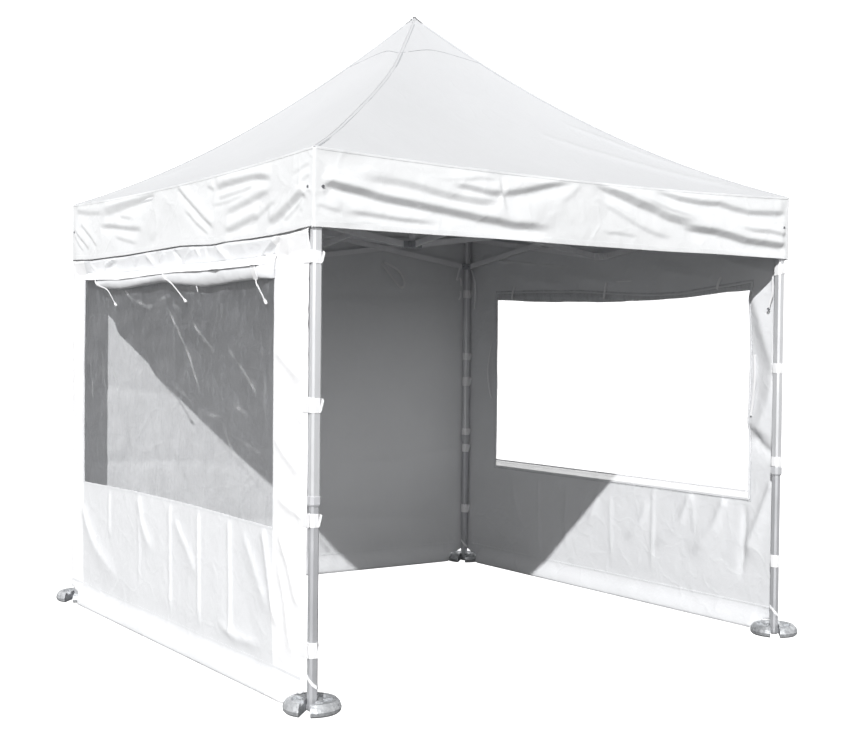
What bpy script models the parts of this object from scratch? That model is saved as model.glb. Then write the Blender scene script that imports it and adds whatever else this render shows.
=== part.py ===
"""Folding marquee, 3 m square, standing up with its roof, three side walls and leg weights.

Metres, +Z up. The origin is on the floor under the roof's peak. The open front faces -Y.
Four telescopic legs carry a scissor frame of aluminium bars, which opens like an accordion:
two crossing pairs of bars along each side, and one pair from the middle of each side to the
centre, where a mast holds the roof's peak up.
"""

import math

import bmesh
import bpy
from mathutils import Matrix, Vector

for old in list(bpy.data.objects):
    bpy.data.objects.remove(old, do_unlink=True)

# Legs: two square tubes, one sliding in the other, with their long edges cut off
LEG_AXIS = 1.469
OUTER_LEG_WIDTH = 0.045
OUTER_LEG_CHAMFER = 0.009
OUTER_LEG_BOTTOM = 0.888
INNER_LEG_WIDTH = 0.0402
INNER_LEG_CHAMFER = 0.009
INNER_LEG_TOP = 1.45
TUBE_WALL = 0.002
FOOT_WIDTH = 0.044
FOOT_HEIGHT = 0.028
COLLAR_WIDTH = 0.0536
COLLAR_CHAMFER = 0.012
COLLAR_HEIGHT = 0.044
COLLAR_TOP_BEVEL = 0.003
COLLAR_LIP = 0.006

# How much narrower the foot cap and the collar are at each height above their lower end
FOOT_ROUNDING = ((0.012, 0.0), (0.003, 0.004), (0.0, 0.012))
COLLAR_ROUNDING = ((0.016, 0.0), (0.006, 0.003), (0.0, 0.011))

# Scissor frame: flat bars with round ends, in two layers side by side
UPPER_PIVOT_Z = 2.368
LOWER_PIVOT_Z = 2.172
BAR_HEIGHT = 0.034
BAR_THICKNESS = 0.014
LAYER_OFFSET = 0.0075
BAR_END_STEPS = 5
PIN_RADIUS = 0.007
PIN_HEAD = 0.0025
PIN_SIDES = 8
BRACKET_HEIGHT = 0.040
BRACKET_HALF = 0.0264
MID_BRACKET_HALF = 0.024
FORK_REACH = 0.034
FORK_PIVOT = 0.0205
FORK_PLATE = 0.0035
MAST_RADIUS = 0.018
MAST_WALL = 0.0016
MAST_TIP_SLOPE = 1.20
MAST_TIP_RADIUS = 0.001
MAST_TIP_PLUG = 0.03
ROUND_SIDES = 16

# Roof, valance and walls
ROOF_HALF = 1.503
EAVE_Z = 2.420
PEAK_Z = 3.490
HIP_SAG = 0.52
FACE_SAG = 0.030
EAVE_SAG = 0.028
CLOTH = 0.003
ROOF_CLOTH = 0.004
VALANCE_BOTTOM_Z = 2.072
WALL_INSIDE = 1.4965
WALL_TOP_Z = 2.360
WALL_BOTTOM_Z = 0.010
WALL_FRONT_Y = -1.437
WALL_CORNER = 1.4915
LIFT_START = 1.302
LIFT_END = 1.334
LIFT_Z = 0.064
LIFT_TOP_Z = 0.085

# Windows: where each one's corners hang, as Y and Z, from the lower front corner round
RIGHT_WINDOW = ((-1.262, 0.791), (1.131, 0.755), (1.131, 1.945), (-1.262, 1.945))
LEFT_WINDOW = ((-1.170, 0.780), (1.270, 0.715), (1.270, 1.950), (-1.170, 1.930))
WINDOW_LAP = 0.022
WINDOW_SHEET = 0.0012

# Rolled-up window covers: the height of each roll's ends, and how much lower its middle hangs
ROLL_RADIUS = 0.027
ROLL_END = 0.8
ROLL_STEPS = 12
ROLL_SEAM_Z = 1.985
RIGHT_ROLL_Z = 1.936
RIGHT_ROLL_SAG = 0.045
LEFT_ROLL_Z = 1.912
LEFT_ROLL_SAG = 0.010

# Leg weights: round castings with a slot that lets them slide onto a leg
WEIGHT_RADIUS = 0.128
WEIGHT_HEIGHT = 0.056
WEIGHT_RIM_TOP = 0.100
WEIGHT_HOLLOW_EDGE = 0.086
WEIGHT_HOLLOW_DEPTH = 0.016
WEIGHT_BOSS = 0.050
WEIGHT_EDGE = 0.004
WEIGHT_SLOT = 0.0526
WEIGHT_RIB = 0.009
WEIGHT_RIBS = 5
WEIGHT_SEGMENTS = 28

GAP = 0.0003
CUT_PAST = 0.01
OUTER_LEG_TOP = UPPER_PIVOT_Z - BRACKET_HEIGHT / 2 - GAP
QUARTER = math.pi / 2
CORNERS = ("front_left", "front_right", "back_right", "back_left")
SIDES = ("front", "right", "back", "left")


def material(name, colour, roughness, metallic=0.0):
    """Returns a plain material of one colour."""
    made = bpy.data.materials.new(name)
    made.use_nodes = True
    shader = made.node_tree.nodes["Principled BSDF"]
    shader.inputs["Base Color"].default_value = (*colour, 1.0)
    shader.inputs["Roughness"].default_value = roughness
    shader.inputs["Metallic"].default_value = metallic
    return made


ALUMINIUM = material("anodised_aluminium", (0.62, 0.63, 0.65), 0.38, 1.0)
CAST = material("cast_bracket", (0.45, 0.46, 0.48), 0.5, 1.0)
NYLON = material("grey_nylon", (0.60, 0.60, 0.61), 0.55)
IRON = material("galvanised_iron", (0.50, 0.51, 0.53), 0.5, 1.0)
POLYESTER = material("white_polyester", (0.86, 0.87, 0.88), 0.85)
CLEAR_FILM = material("clear_film", (0.75, 0.78, 0.80), 0.15)


def keep(name, mesh, surface, location=(0.0, 0.0, 0.0), turn=0.0, smooth=False):
    """Places a mesh as a named object, turned about the vertical."""
    if not mesh.materials:
        mesh.materials.append(surface)
    if smooth:
        mesh.shade_smooth()
        mesh.set_sharp_from_angle(angle=math.radians(35))
    placed = bpy.data.objects.new(name, mesh)
    placed.location = location
    placed.rotation_euler = (0.0, 0.0, turn)
    bpy.context.scene.collection.objects.link(placed)
    return placed


def mesh_from(shape):
    """Turns a bmesh into a mesh whose faces point out."""
    bmesh.ops.recalc_face_normals(shape, faces=shape.faces)
    mesh = bpy.data.meshes.new("shape")
    shape.to_mesh(mesh)
    shape.free()
    return mesh


def extruded(outline, low, high):
    """A solid from a plan outline, between two heights."""
    shape = bmesh.new()
    bottom = [shape.verts.new((x, y, low)) for x, y in outline]
    top = [shape.verts.new((x, y, high)) for x, y in outline]
    shape.faces.new(bottom)
    shape.faces.new(top)
    for k in range(len(outline)):
        after = (k + 1) % len(outline)
        shape.faces.new((bottom[k], bottom[after], top[after], top[k]))
    return mesh_from(shape)


def lofted(rings):
    """A solid skinned over rings of equal length, closed at both ends by a flat face."""
    shape = bmesh.new()
    made = [[shape.verts.new(point) for point in ring] for ring in rings]
    shape.faces.new(made[0])
    shape.faces.new(made[-1])
    for lower, upper in zip(made, made[1:]):
        for k in range(len(lower)):
            after = (k + 1) % len(lower)
            shape.faces.new((lower[k], lower[after], upper[after], upper[k]))
    return mesh_from(shape)


def turned(profile, segments):
    """A closed profile of radius and height pairs, swept round the vertical."""
    shape = bmesh.new()
    rings = []
    for k in range(segments):
        angle = 2 * math.pi * k / segments
        c, s = math.cos(angle), math.sin(angle)
        rings.append([shape.verts.new((r * c, r * s, z)) for r, z in profile])
    for k in range(segments):
        here, there = rings[k], rings[(k + 1) % segments]
        for j in range(len(profile)):
            after = (j + 1) % len(profile)
            shape.faces.new((here[j], here[after], there[after], there[j]))
    bmesh.ops.remove_doubles(shape, verts=shape.verts, dist=1e-6)
    return mesh_from(shape)


def moved(mesh, matrix):
    """The same mesh in another place."""
    mesh.transform(matrix)
    return mesh


def combined(base, others, operation):
    """The Boolean result of one mesh and several others, as one mesh."""
    body = bpy.data.objects.new("body", base)
    bpy.context.scene.collection.objects.link(body)
    helpers = []
    for mesh in others:
        helper = bpy.data.objects.new("helper", mesh)
        helper.hide_render = True
        helper.display_type = "WIRE"
        bpy.context.scene.collection.objects.link(helper)
        step = body.modifiers.new("step", "BOOLEAN")
        step.operation = operation
        step.solver = "EXACT"
        step.object = helper
        helpers.append(helper)
    bpy.context.view_layer.update()
    evaluated = body.evaluated_get(bpy.context.evaluated_depsgraph_get())
    result = bpy.data.meshes.new_from_object(evaluated)
    for spent in (body, *helpers):
        bpy.data.objects.remove(spent, do_unlink=True)
    return result


def cut_square(width, chamfer):
    """Plan outline of a square with its corners cut off, going round from +X."""
    half = width / 2
    flat = half - chamfer
    side = ((half, -flat), (half, flat))
    points = []
    for k in range(4):
        for x, y in side:
            turn = Matrix.Rotation(k * QUARTER, 2) @ Vector((x, y))
            points.append((turn.x, turn.y))
    return points


def box(low, high):
    """A plain block between two corners."""
    outline = [(low[0], low[1]), (high[0], low[1]), (high[0], high[1]), (low[0], high[1])]
    return extruded(outline, low[2], high[2])


def tube(width, chamfer, low, high):
    """A square tube with cut corners, open at both ends."""
    body = extruded(cut_square(width, chamfer), low, high)
    bore_outline = cut_square(width - 2 * TUBE_WALL, chamfer)
    bore = extruded(bore_outline, low - CUT_PAST, high + CUT_PAST)
    return combined(body, [bore], "DIFFERENCE")


def tapered(width, chamfer, rings):
    """A cut-corner square post whose rings each give how much narrower it is at a height."""
    outlines = []
    for narrower, height in rings:
        outline = cut_square(width - narrower, chamfer)
        outlines.append([(x, y, height) for x, y in outline])
    return lofted(outlines)


def at_corner(k):
    """Place and turn of corner k, whose own +X and +Y run along its two sides."""
    place = Matrix.Rotation(k * QUARTER, 3, "Z") @ Vector((-LEG_AXIS, -LEG_AXIS, 0.0))
    return place, k * QUARTER


# Outer legs: the upper tubes, from the collar to the corner bracket
outer_leg = tube(OUTER_LEG_WIDTH, OUTER_LEG_CHAMFER, OUTER_LEG_BOTTOM, OUTER_LEG_TOP)
for k, corner in enumerate(CORNERS):
    place, turn = at_corner(k)
    keep(f"outer_leg_{corner}", outer_leg, ALUMINIUM, place, turn)


def inner_leg_mesh():
    """The lower tube, open at its top, with a cap that is rounded where it meets the floor."""
    body = extruded(cut_square(INNER_LEG_WIDTH, INNER_LEG_CHAMFER), FOOT_HEIGHT / 2, INNER_LEG_TOP)
    cap = tapered(FOOT_WIDTH, OUTER_LEG_CHAMFER, (*FOOT_ROUNDING, (0.0, FOOT_HEIGHT)))
    whole = combined(body, [cap], "UNION")
    bore_outline = cut_square(INNER_LEG_WIDTH - 2 * TUBE_WALL, INNER_LEG_CHAMFER)
    bore = extruded(bore_outline, FOOT_HEIGHT, INNER_LEG_TOP + CUT_PAST)
    return combined(whole, [bore], "DIFFERENCE")


# Inner legs: the lower tubes with their foot caps, standing on the floor
inner_leg = inner_leg_mesh()
for k, corner in enumerate(CORNERS):
    place, turn = at_corner(k)
    keep(f"inner_leg_{corner}", inner_leg, ALUMINIUM, place, turn)


def collar_mesh():
    """A sleeve round the outer leg's lower end, with a lip under it and a rounded lower edge."""
    top = COLLAR_HEIGHT + COLLAR_TOP_BEVEL
    rings = (*COLLAR_ROUNDING, (0.0, COLLAR_HEIGHT), (COLLAR_TOP_BEVEL, top))
    sleeve = tapered(COLLAR_WIDTH, COLLAR_CHAMFER, rings)
    outer_room = cut_square(OUTER_LEG_WIDTH + 2 * GAP, OUTER_LEG_CHAMFER)
    inner_room = cut_square(INNER_LEG_WIDTH + 2 * GAP, INNER_LEG_CHAMFER)
    above = extruded(outer_room, COLLAR_LIP, top + CUT_PAST)
    through = extruded(inner_room, -CUT_PAST, top + CUT_PAST)
    sleeve = combined(sleeve, [above, through], "DIFFERENCE")
    return moved(sleeve, Matrix.Translation((0.0, 0.0, OUTER_LEG_BOTTOM - GAP - COLLAR_LIP)))


# Leg collars: they cap the outer tube's lower end and guide the inner tube
collar = collar_mesh()
for k, corner in enumerate(CORNERS):
    place, turn = at_corner(k)
    keep(f"leg_collar_{corner}", collar, NYLON, place, turn)


def bracket_outline(half, forks):
    """Plan outline of a bracket: a square block, with a fork on each side that holds a bar.

    forks gives, for the sides +X, +Y, -X and -Y in turn, how far the bar lies to the left of
    the block's middle, seen looking out, or None for a side with no bar.
    """
    inner = BAR_THICKNESS / 2 + GAP
    outer = inner + FORK_PLATE
    tip = half + FORK_REACH
    points = []
    for k, offset in enumerate(forks):
        side = [(half, -half)]
        if offset is not None:
            for near, far in ((offset - outer, offset - inner), (offset + inner, offset + outer)):
                side += [(half, near), (tip, near), (tip, far), (half, far)]
        for x, y in side:
            turned_point = Matrix.Rotation(k * QUARTER, 2) @ Vector((x, y))
            points.append((turned_point.x, turned_point.y))
    return points


def bracket(half, forks, pivot_z):
    """A bracket whose height is centred on its pivots."""
    low = pivot_z - BRACKET_HEIGHT / 2
    return extruded(bracket_outline(half, forks), low, low + BRACKET_HEIGHT)


# Corner brackets: castings plugged onto the leg tops, each holding the two upper bar ends
corner_bracket = bracket(BRACKET_HALF, (-LAYER_OFFSET, LAYER_OFFSET, None, None), UPPER_PIVOT_Z)
for k, corner in enumerate(CORNERS):
    place, turn = at_corner(k)
    keep(f"corner_bracket_{corner}", corner_bracket, CAST, place, turn)

# Sliders: castings that run up and down the legs, each holding the two lower bar ends
passage_outline = cut_square(OUTER_LEG_WIDTH + 2 * GAP, OUTER_LEG_CHAMFER)
leg_passage = extruded(passage_outline, LOWER_PIVOT_Z - BRACKET_HEIGHT, LOWER_PIVOT_Z + BRACKET_HEIGHT)
slider_block = bracket(BRACKET_HALF, (LAYER_OFFSET, -LAYER_OFFSET, None, None), LOWER_PIVOT_Z)
slider = combined(slider_block, [leg_passage], "DIFFERENCE")
for k, corner in enumerate(CORNERS):
    place, turn = at_corner(k)
    keep(f"leg_slider_{corner}", slider, CAST, place, turn)


def bar(start, end, across):
    """A flat bar with round ends from one pivot to another, in a vertical plane.

    across is the unit vector through its thickness.
    """
    start, end, across = Vector(start), Vector(end), Vector(across)
    along = (end - start).normalized()
    up = across.cross(along)
    radius = BAR_HEIGHT / 2
    outline = []
    for centre, first in ((end, -QUARTER), (start, QUARTER)):
        for j in range(BAR_END_STEPS + 1):
            angle = first + math.pi * j / BAR_END_STEPS
            outline.append(centre + radius * (math.cos(angle) * along + math.sin(angle) * up))
    half = across * (BAR_THICKNESS / 2)
    return lofted([[point - half for point in outline], [point + half for point in outline]])


def pin(centre, across, low, high):
    """A round rivet through a pivot, between two distances along across."""
    centre, across = Vector(centre), Vector(across)
    side = Vector((0.0, 0.0, 1.0)).cross(across)
    rings = []
    for distance in (low, high):
        ring = []
        for j in range(PIN_SIDES):
            angle = 2 * math.pi * (j + 0.5) / PIN_SIDES
            spoke = math.cos(angle) * side + math.sin(angle) * Vector((0.0, 0.0, 1.0))
            ring.append(centre + across * distance + PIN_RADIUS * spoke)
        rings.append(ring)
    return lofted(rings)


LAYER_EDGE = LAYER_OFFSET + BAR_THICKNESS / 2
FORK_EDGE = LAYER_EDGE + GAP + FORK_PLATE


def side_truss():
    """The truss of one side in its own place, x along the side and y inwards, y = 0 in its plane."""
    leg_end = LEG_AXIS - BRACKET_HALF - FORK_PIVOT
    mid_end = MID_BRACKET_HALF + FORK_PIVOT
    middle = (leg_end + mid_end) / 2
    inwards = (0.0, 1.0, 0.0)
    lower_forks = (-LAYER_OFFSET, -LAYER_OFFSET, LAYER_OFFSET, None)
    upper_forks = (LAYER_OFFSET, LAYER_OFFSET, -LAYER_OFFSET, None)
    others = [bracket(MID_BRACKET_HALF, lower_forks, LOWER_PIVOT_Z)]
    for side in (-1, 1):
        for leg_z, mid_z, layer in (
            (UPPER_PIVOT_Z, LOWER_PIVOT_Z, -LAYER_OFFSET),
            (LOWER_PIVOT_Z, UPPER_PIVOT_Z, LAYER_OFFSET),
        ):
            mid_pivot = (side * mid_end, layer, mid_z)
            others.append(bar((side * leg_end, layer, leg_z), mid_pivot, inwards))
            reach = FORK_EDGE - LAYER_OFFSET + PIN_HEAD
            others.append(pin(mid_pivot, inwards, -reach, reach))
        crossing = (side * middle, 0.0, (UPPER_PIVOT_Z + LOWER_PIVOT_Z) / 2)
        others.append(pin(crossing, inwards, -LAYER_EDGE - PIN_HEAD, LAYER_EDGE + PIN_HEAD))
    return combined(bracket(MID_BRACKET_HALF, upper_forks, UPPER_PIVOT_Z), others, "UNION")


# Side trusses: two crossing pairs of bars between two legs, pinned to the two mid-side brackets
truss = side_truss()
for k, side in enumerate(SIDES):
    place = Matrix.Rotation(k * QUARTER, 3, "Z") @ Vector((0.0, -LEG_AXIS, 0.0))
    keep(f"{side}_truss", truss, ALUMINIUM, place, k * QUARTER)


def inner_scissor():
    """The crossing pair from the front side's middle to the hubs."""
    side_end = -LEG_AXIS + MID_BRACKET_HALF + FORK_PIVOT
    hub_end = -MID_BRACKET_HALF - FORK_PIVOT
    sideways = (1.0, 0.0, 0.0)
    left, right = -LAYER_OFFSET, LAYER_OFFSET
    falling = bar((left, side_end, UPPER_PIVOT_Z), (left, hub_end, LOWER_PIVOT_Z), sideways)
    rising = bar((right, side_end, LOWER_PIVOT_Z), (right, hub_end, UPPER_PIVOT_Z), sideways)
    crossing = (0.0, (side_end + hub_end) / 2, (UPPER_PIVOT_Z + LOWER_PIVOT_Z) / 2)
    rivet = pin(crossing, sideways, -LAYER_EDGE - PIN_HEAD, LAYER_EDGE + PIN_HEAD)
    return combined(falling, [rising, rivet], "UNION")


# Inner scissors: one crossing pair from each side's middle to the centre
scissor = inner_scissor()
for k, side in enumerate(SIDES):
    keep(f"inner_scissor_{side}", scissor, ALUMINIUM, turn=k * QUARTER)


def round_ring(radius, height):
    """Points round an upright circle's edge."""
    spokes = [2 * math.pi * j / ROUND_SIDES for j in range(ROUND_SIDES)]
    return [(radius * math.cos(a), radius * math.sin(a), height) for a in spokes]


def round_bar(radius, low, high):
    """A plain upright cylinder."""
    return lofted([round_ring(radius, low), round_ring(radius, high)])


# Hubs: the lower one carries the mast, and the mast runs through the upper one
keep("lower_hub", bracket(MID_BRACKET_HALF, (-LAYER_OFFSET,) * 4, LOWER_PIVOT_Z), CAST)
upper_block = bracket(MID_BRACKET_HALF, (LAYER_OFFSET,) * 4, UPPER_PIVOT_Z)
mast_passage = round_bar(MAST_RADIUS + GAP, UPPER_PIVOT_Z - BRACKET_HEIGHT, UPPER_PIVOT_Z + BRACKET_HEIGHT)
keep("upper_hub", combined(upper_block, [mast_passage], "DIFFERENCE"), CAST)


def mast_mesh():
    """A round tube, open below, with a cone on top that stands inside the roof's peak."""
    foot = LOWER_PIVOT_Z + BRACKET_HEIGHT / 2 + GAP
    tip = PEAK_Z - ROOF_CLOTH - GAP - MAST_TIP_SLOPE * MAST_TIP_RADIUS
    shoulder = tip - MAST_TIP_SLOPE * (MAST_RADIUS - MAST_TIP_RADIUS)
    shaft = (round_ring(MAST_RADIUS, foot), round_ring(MAST_RADIUS, shoulder))
    body = lofted([*shaft, round_ring(MAST_TIP_RADIUS, tip)])
    bore = round_bar(MAST_RADIUS - MAST_WALL, foot - CUT_PAST, shoulder - MAST_TIP_PLUG)
    return combined(body, [bore], "DIFFERENCE")


# Centre mast: it holds the roof's peak up
keep("centre_mast", mast_mesh(), ALUMINIUM, smooth=True)


def roof_height(x, y):
    """Height of the roof's outer face: hips that hang in a curve, and faces that hang between them."""
    reach = max(abs(x), abs(y)) / ROOF_HALF
    along = min(abs(x), abs(y)) / max(abs(x), abs(y), 1e-9)
    hip = PEAK_Z - (PEAK_Z - EAVE_Z) * reach - HIP_SAG * reach * (1 - reach)
    between = 1 - along * along
    return hip - between * (FACE_SAG * math.sin(math.pi * reach) + EAVE_SAG * reach**3)


ROOF_ROWS = (0.05, 0.12, 0.22, 0.36, 0.54, 0.76, 1.0, 1.24, 1.42, ROOF_HALF)
SIDE_STEPS = 8


def roof_panel_mesh():
    """The front panel of the roof: a sagging triangle of cloth between two hips and the peak."""
    shape = bmesh.new()
    borders = []
    for drop in (0.0, ROOF_CLOTH):
        apex = shape.verts.new((0.0, -GAP, PEAK_Z - drop))
        rows = []
        for out in ROOF_ROWS:
            half = out - GAP
            row = []
            for j in range(SIDE_STEPS + 1):
                x = half * (2 * j / SIDE_STEPS - 1)
                row.append(shape.verts.new((x, -out, roof_height(x, -out) - drop)))
            rows.append(row)
        for j in range(SIDE_STEPS):
            shape.faces.new((apex, rows[0][j], rows[0][j + 1]))
            for upper, lower in zip(rows, rows[1:]):
                shape.faces.new((upper[j], lower[j], lower[j + 1]))
                shape.faces.new((upper[j], lower[j + 1], upper[j + 1]))
        left_hip = [row[0] for row in rows]
        right_hip = [row[-1] for row in reversed(rows)]
        borders.append([apex, *left_hip, *rows[-1][1:-1], *right_hip])
    top, bottom = borders
    for k in range(len(top)):
        after = (k + 1) % len(top)
        shape.faces.new((top[k], bottom[k], bottom[after], top[after]))
    return mesh_from(shape)


# Roof cover: four panels that are sewn together along the hips
roof_panel = roof_panel_mesh()
for k, side in enumerate(SIDES):
    keep(f"{side}_roof_panel", roof_panel, POLYESTER, turn=k * QUARTER)


def square_ring(half):
    """Points round a square, counterclockwise from its front left corner."""
    points = []
    for k in range(4):
        turn = Matrix.Rotation(k * QUARTER, 2)
        for j in range(SIDE_STEPS):
            point = turn @ Vector((-half + 2 * half * j / SIDE_STEPS, -half))
            points.append((point.x, point.y))
    return points


def valance_mesh():
    """The band of cloth that hangs from the roof's edge, all the way round."""
    outer = square_ring(ROOF_HALF)
    inner = square_ring(ROOF_HALF - CLOTH)
    top = [roof_height(x, y) - ROOF_CLOTH - GAP for x, y in outer]
    bottom = [VALANCE_BOTTOM_Z] * len(outer)
    shape = bmesh.new()
    loops = []
    for outline, heights in ((outer, top), (outer, bottom), (inner, bottom), (inner, top)):
        loops.append([shape.verts.new((x, y, z)) for (x, y), z in zip(outline, heights)])
    for here, there in zip(loops, loops[1:] + loops[:1]):
        for k in range(len(here)):
            after = (k + 1) % len(here)
            shape.faces.new((here[k], here[after], there[after], there[k]))
    return mesh_from(shape)


# Valance
keep("valance", valance_mesh(), POLYESTER)


def wall_sheet(front, back, near, far):
    """An upright sheet whose lower corners are lifted over the leg weights.

    front and back are its ends along Y, near and far its two faces along X.
    """
    outline = [
        (front, LIFT_TOP_Z),
        (-LIFT_END, LIFT_Z),
        (-LIFT_START, WALL_BOTTOM_Z),
        (LIFT_START, WALL_BOTTOM_Z),
        (LIFT_END, LIFT_Z),
        (back, LIFT_TOP_Z),
        (back, WALL_TOP_Z),
        (front, WALL_TOP_Z),
    ]
    return lofted([[(x, y, z) for y, z in outline] for x in (near, far)])


def window_sheet(corners, lap, near, far):
    """An upright sheet between two faces along X, reaching past a window's corners by a lap."""
    (front, _), (back, _), _, _ = corners
    middle = (front + back) / 2
    level = sum(z for _, z in corners) / len(corners)
    outline = []
    for y, z in corners:
        outline.append((y + math.copysign(lap, y - middle), z + math.copysign(lap, z - level)))
    return lofted([[(x, y, z) for y, z in outline] for x in (near, far)])


# Side walls, each with its window cut through, and the clear sheet lapped over it on the inside
for name, side, corners in (("right", 1, RIGHT_WINDOW), ("left", -1, LEFT_WINDOW)):
    inside, outside = side * WALL_INSIDE, side * (WALL_INSIDE + CLOTH)
    sheet = wall_sheet(WALL_FRONT_Y, WALL_CORNER, inside, outside)
    hole = window_sheet(corners, 0.0, inside - side * CUT_PAST, outside + side * CUT_PAST)
    keep(f"{name}_wall", combined(sheet, [hole], "DIFFERENCE"), POLYESTER)
    film_face = inside - side * GAP
    film = window_sheet(corners, WINDOW_LAP, film_face - side * WINDOW_SHEET, film_face)
    keep(f"{name}_window", film, CLEAR_FILM)

# Back wall: the same sheet with no window, turned to the back
back_sheet = wall_sheet(-WALL_CORNER, WALL_CORNER, WALL_INSIDE, WALL_INSIDE + CLOTH)
keep("back_wall", back_sheet, POLYESTER, turn=QUARTER)


def cover_roll(side, corners, height, sag):
    """A window cover rolled up into a long soft sausage, which hangs from its seam on the wall.

    side is 1 on the right and -1 on the left, corners are its window's, height is that of the
    roll's ends, and sag is how much lower its middle hangs.
    """
    face = WALL_INSIDE + CLOTH + GAP
    (front, _), (back, _), _, _ = corners
    rings = []
    for j in range(ROLL_STEPS + 1):
        across = j / ROLL_STEPS
        y = front + (back - front) * across
        z = height - sag * 4 * across * (1 - across)
        radius = ROLL_RADIUS * (ROLL_END if j in (0, ROLL_STEPS) else 1.0)
        section = []
        for degrees in range(180, 491, 31):
            angle = math.radians(degrees)
            section.append((radius * (1 + math.cos(angle)), z + radius * math.sin(angle)))
        section += [(CLOTH, z + radius * 1.1), (CLOTH, ROLL_SEAM_Z), (0.0, ROLL_SEAM_Z)]
        rings.append([(side * (face + out), y, up) for out, up in section])
    return lofted(rings)


# Rolled-up window covers, on the outside of the two window walls
right_roll = cover_roll(1, RIGHT_WINDOW, RIGHT_ROLL_Z, RIGHT_ROLL_SAG)
left_roll = cover_roll(-1, LEFT_WINDOW, LEFT_ROLL_Z, LEFT_ROLL_SAG)
keep("right_window_cover_roll", right_roll, POLYESTER, smooth=True)
keep("left_window_cover_roll", left_roll, POLYESTER, smooth=True)


def weight_mesh():
    """A round casting with a raised rim, a ribbed hollow top and a slot from its edge to its middle."""
    boss_top = WEIGHT_HEIGHT - WEIGHT_EDGE
    hollow_floor = WEIGHT_HEIGHT - WEIGHT_HOLLOW_DEPTH
    profile = [
        (0.0, 0.0),
        (WEIGHT_RADIUS - 0.010, 0.0),
        (WEIGHT_RADIUS - 0.002, 0.008),
        (WEIGHT_RADIUS, 0.022),
        (WEIGHT_RADIUS - 0.006, 0.040),
        (WEIGHT_RIM_TOP + 0.010, WEIGHT_HEIGHT - 0.003),
        (WEIGHT_RIM_TOP, WEIGHT_HEIGHT),
        (WEIGHT_HOLLOW_EDGE + WEIGHT_EDGE, boss_top),
        (WEIGHT_HOLLOW_EDGE, hollow_floor),
        (WEIGHT_BOSS, hollow_floor),
        (WEIGHT_BOSS - WEIGHT_EDGE, boss_top),
        (0.0, boss_top),
    ]
    disc = turned(profile, WEIGHT_SEGMENTS)
    rib_start = WEIGHT_BOSS - 2 * WEIGHT_EDGE
    rib_end = WEIGHT_HOLLOW_EDGE + 2 * WEIGHT_EDGE
    rib_half = WEIGHT_RIB / 2
    rib_top = boss_top - WEIGHT_EDGE / 2
    ribs = []
    for k in range(WEIGHT_RIBS):
        rib = box((rib_start, -rib_half, hollow_floor - WEIGHT_EDGE), (rib_end, rib_half, rib_top))
        angle = 2 * math.pi * (k + 1) / (WEIGHT_RIBS + 1)
        ribs.append(moved(rib, Matrix.Rotation(angle, 4, "Z")))
    half = WEIGHT_SLOT / 2
    slot_end = round_bar(half, -CUT_PAST, WEIGHT_HEIGHT + CUT_PAST)
    slot = box((0.0, -half, -CUT_PAST), (2 * WEIGHT_RADIUS, half, WEIGHT_HEIGHT + CUT_PAST))
    solid = combined(disc, ribs, "UNION")
    return combined(solid, [combined(slot_end, [slot], "UNION")], "DIFFERENCE")


# Leg weights: all four have their slots towards the front left, as they were pushed on
weight = weight_mesh()
for k, corner in enumerate(CORNERS):
    place, _ = at_corner(k)
    keep(f"leg_weight_{corner}", weight, IRON, place, math.radians(225), smooth=True)
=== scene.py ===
"""Looks of a folding marquee: a white coated cloth roof and three walls on a scissor frame of aluminium."""
import math

import bpy
import numpy as np
from mathutils import Matrix, Vector


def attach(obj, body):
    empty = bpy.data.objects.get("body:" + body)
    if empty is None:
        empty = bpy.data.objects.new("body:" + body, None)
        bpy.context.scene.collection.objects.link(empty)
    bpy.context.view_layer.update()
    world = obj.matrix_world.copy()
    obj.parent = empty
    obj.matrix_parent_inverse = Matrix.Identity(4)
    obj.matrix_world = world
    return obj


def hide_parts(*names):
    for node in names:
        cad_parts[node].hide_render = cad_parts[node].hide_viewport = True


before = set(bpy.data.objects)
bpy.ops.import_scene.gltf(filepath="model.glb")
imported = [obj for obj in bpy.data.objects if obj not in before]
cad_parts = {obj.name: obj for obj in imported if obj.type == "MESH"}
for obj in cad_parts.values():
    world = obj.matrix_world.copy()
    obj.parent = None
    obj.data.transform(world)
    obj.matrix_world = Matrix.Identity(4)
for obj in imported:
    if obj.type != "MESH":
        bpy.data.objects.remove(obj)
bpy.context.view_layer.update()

# Camera
# A person's eye height, off the left end of the open front, turned a little to the right.
EYE = Vector((-4.2424, -6.3815, 1.5665))
YAW, PITCH, ROLL = math.radians(34.243), math.radians(-1.1606), math.radians(0.6114)
FOCAL_PX = 1311.57
FRAME_PX = 850

lens = bpy.data.cameras.new("eye_level_lens")
lens.sensor_width = 36.0
lens.lens = FOCAL_PX / FRAME_PX * lens.sensor_width
lens.clip_end = 300.0
camera = bpy.data.objects.new("eye_level_camera", lens)
turn = Matrix.Rotation(-YAW, 4, "Z") @ Matrix.Rotation(math.pi / 2 + PITCH, 4, "X")
camera.matrix_world = Matrix.Translation(EYE) @ turn @ Matrix.Rotation(ROLL, 4, "Z")
bpy.context.scene.collection.objects.link(camera)
bpy.context.scene.camera = camera

# Legs
# Two extruded aluminium tubes a leg, square with their long edges cut off, the lower one sliding in
# the upper one. They are anodised, which leaves a light satin metal with fine lines along the draw.
CORNERS = {"front_left": (-1, -1), "front_right": (1, -1), "back_right": (1, 1), "back_left": (-1, 1)}
LEG_AXIS = 1.469
OUTER_LEG_HALF = 0.0225
INNER_LEG_HALF = 0.0201


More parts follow.
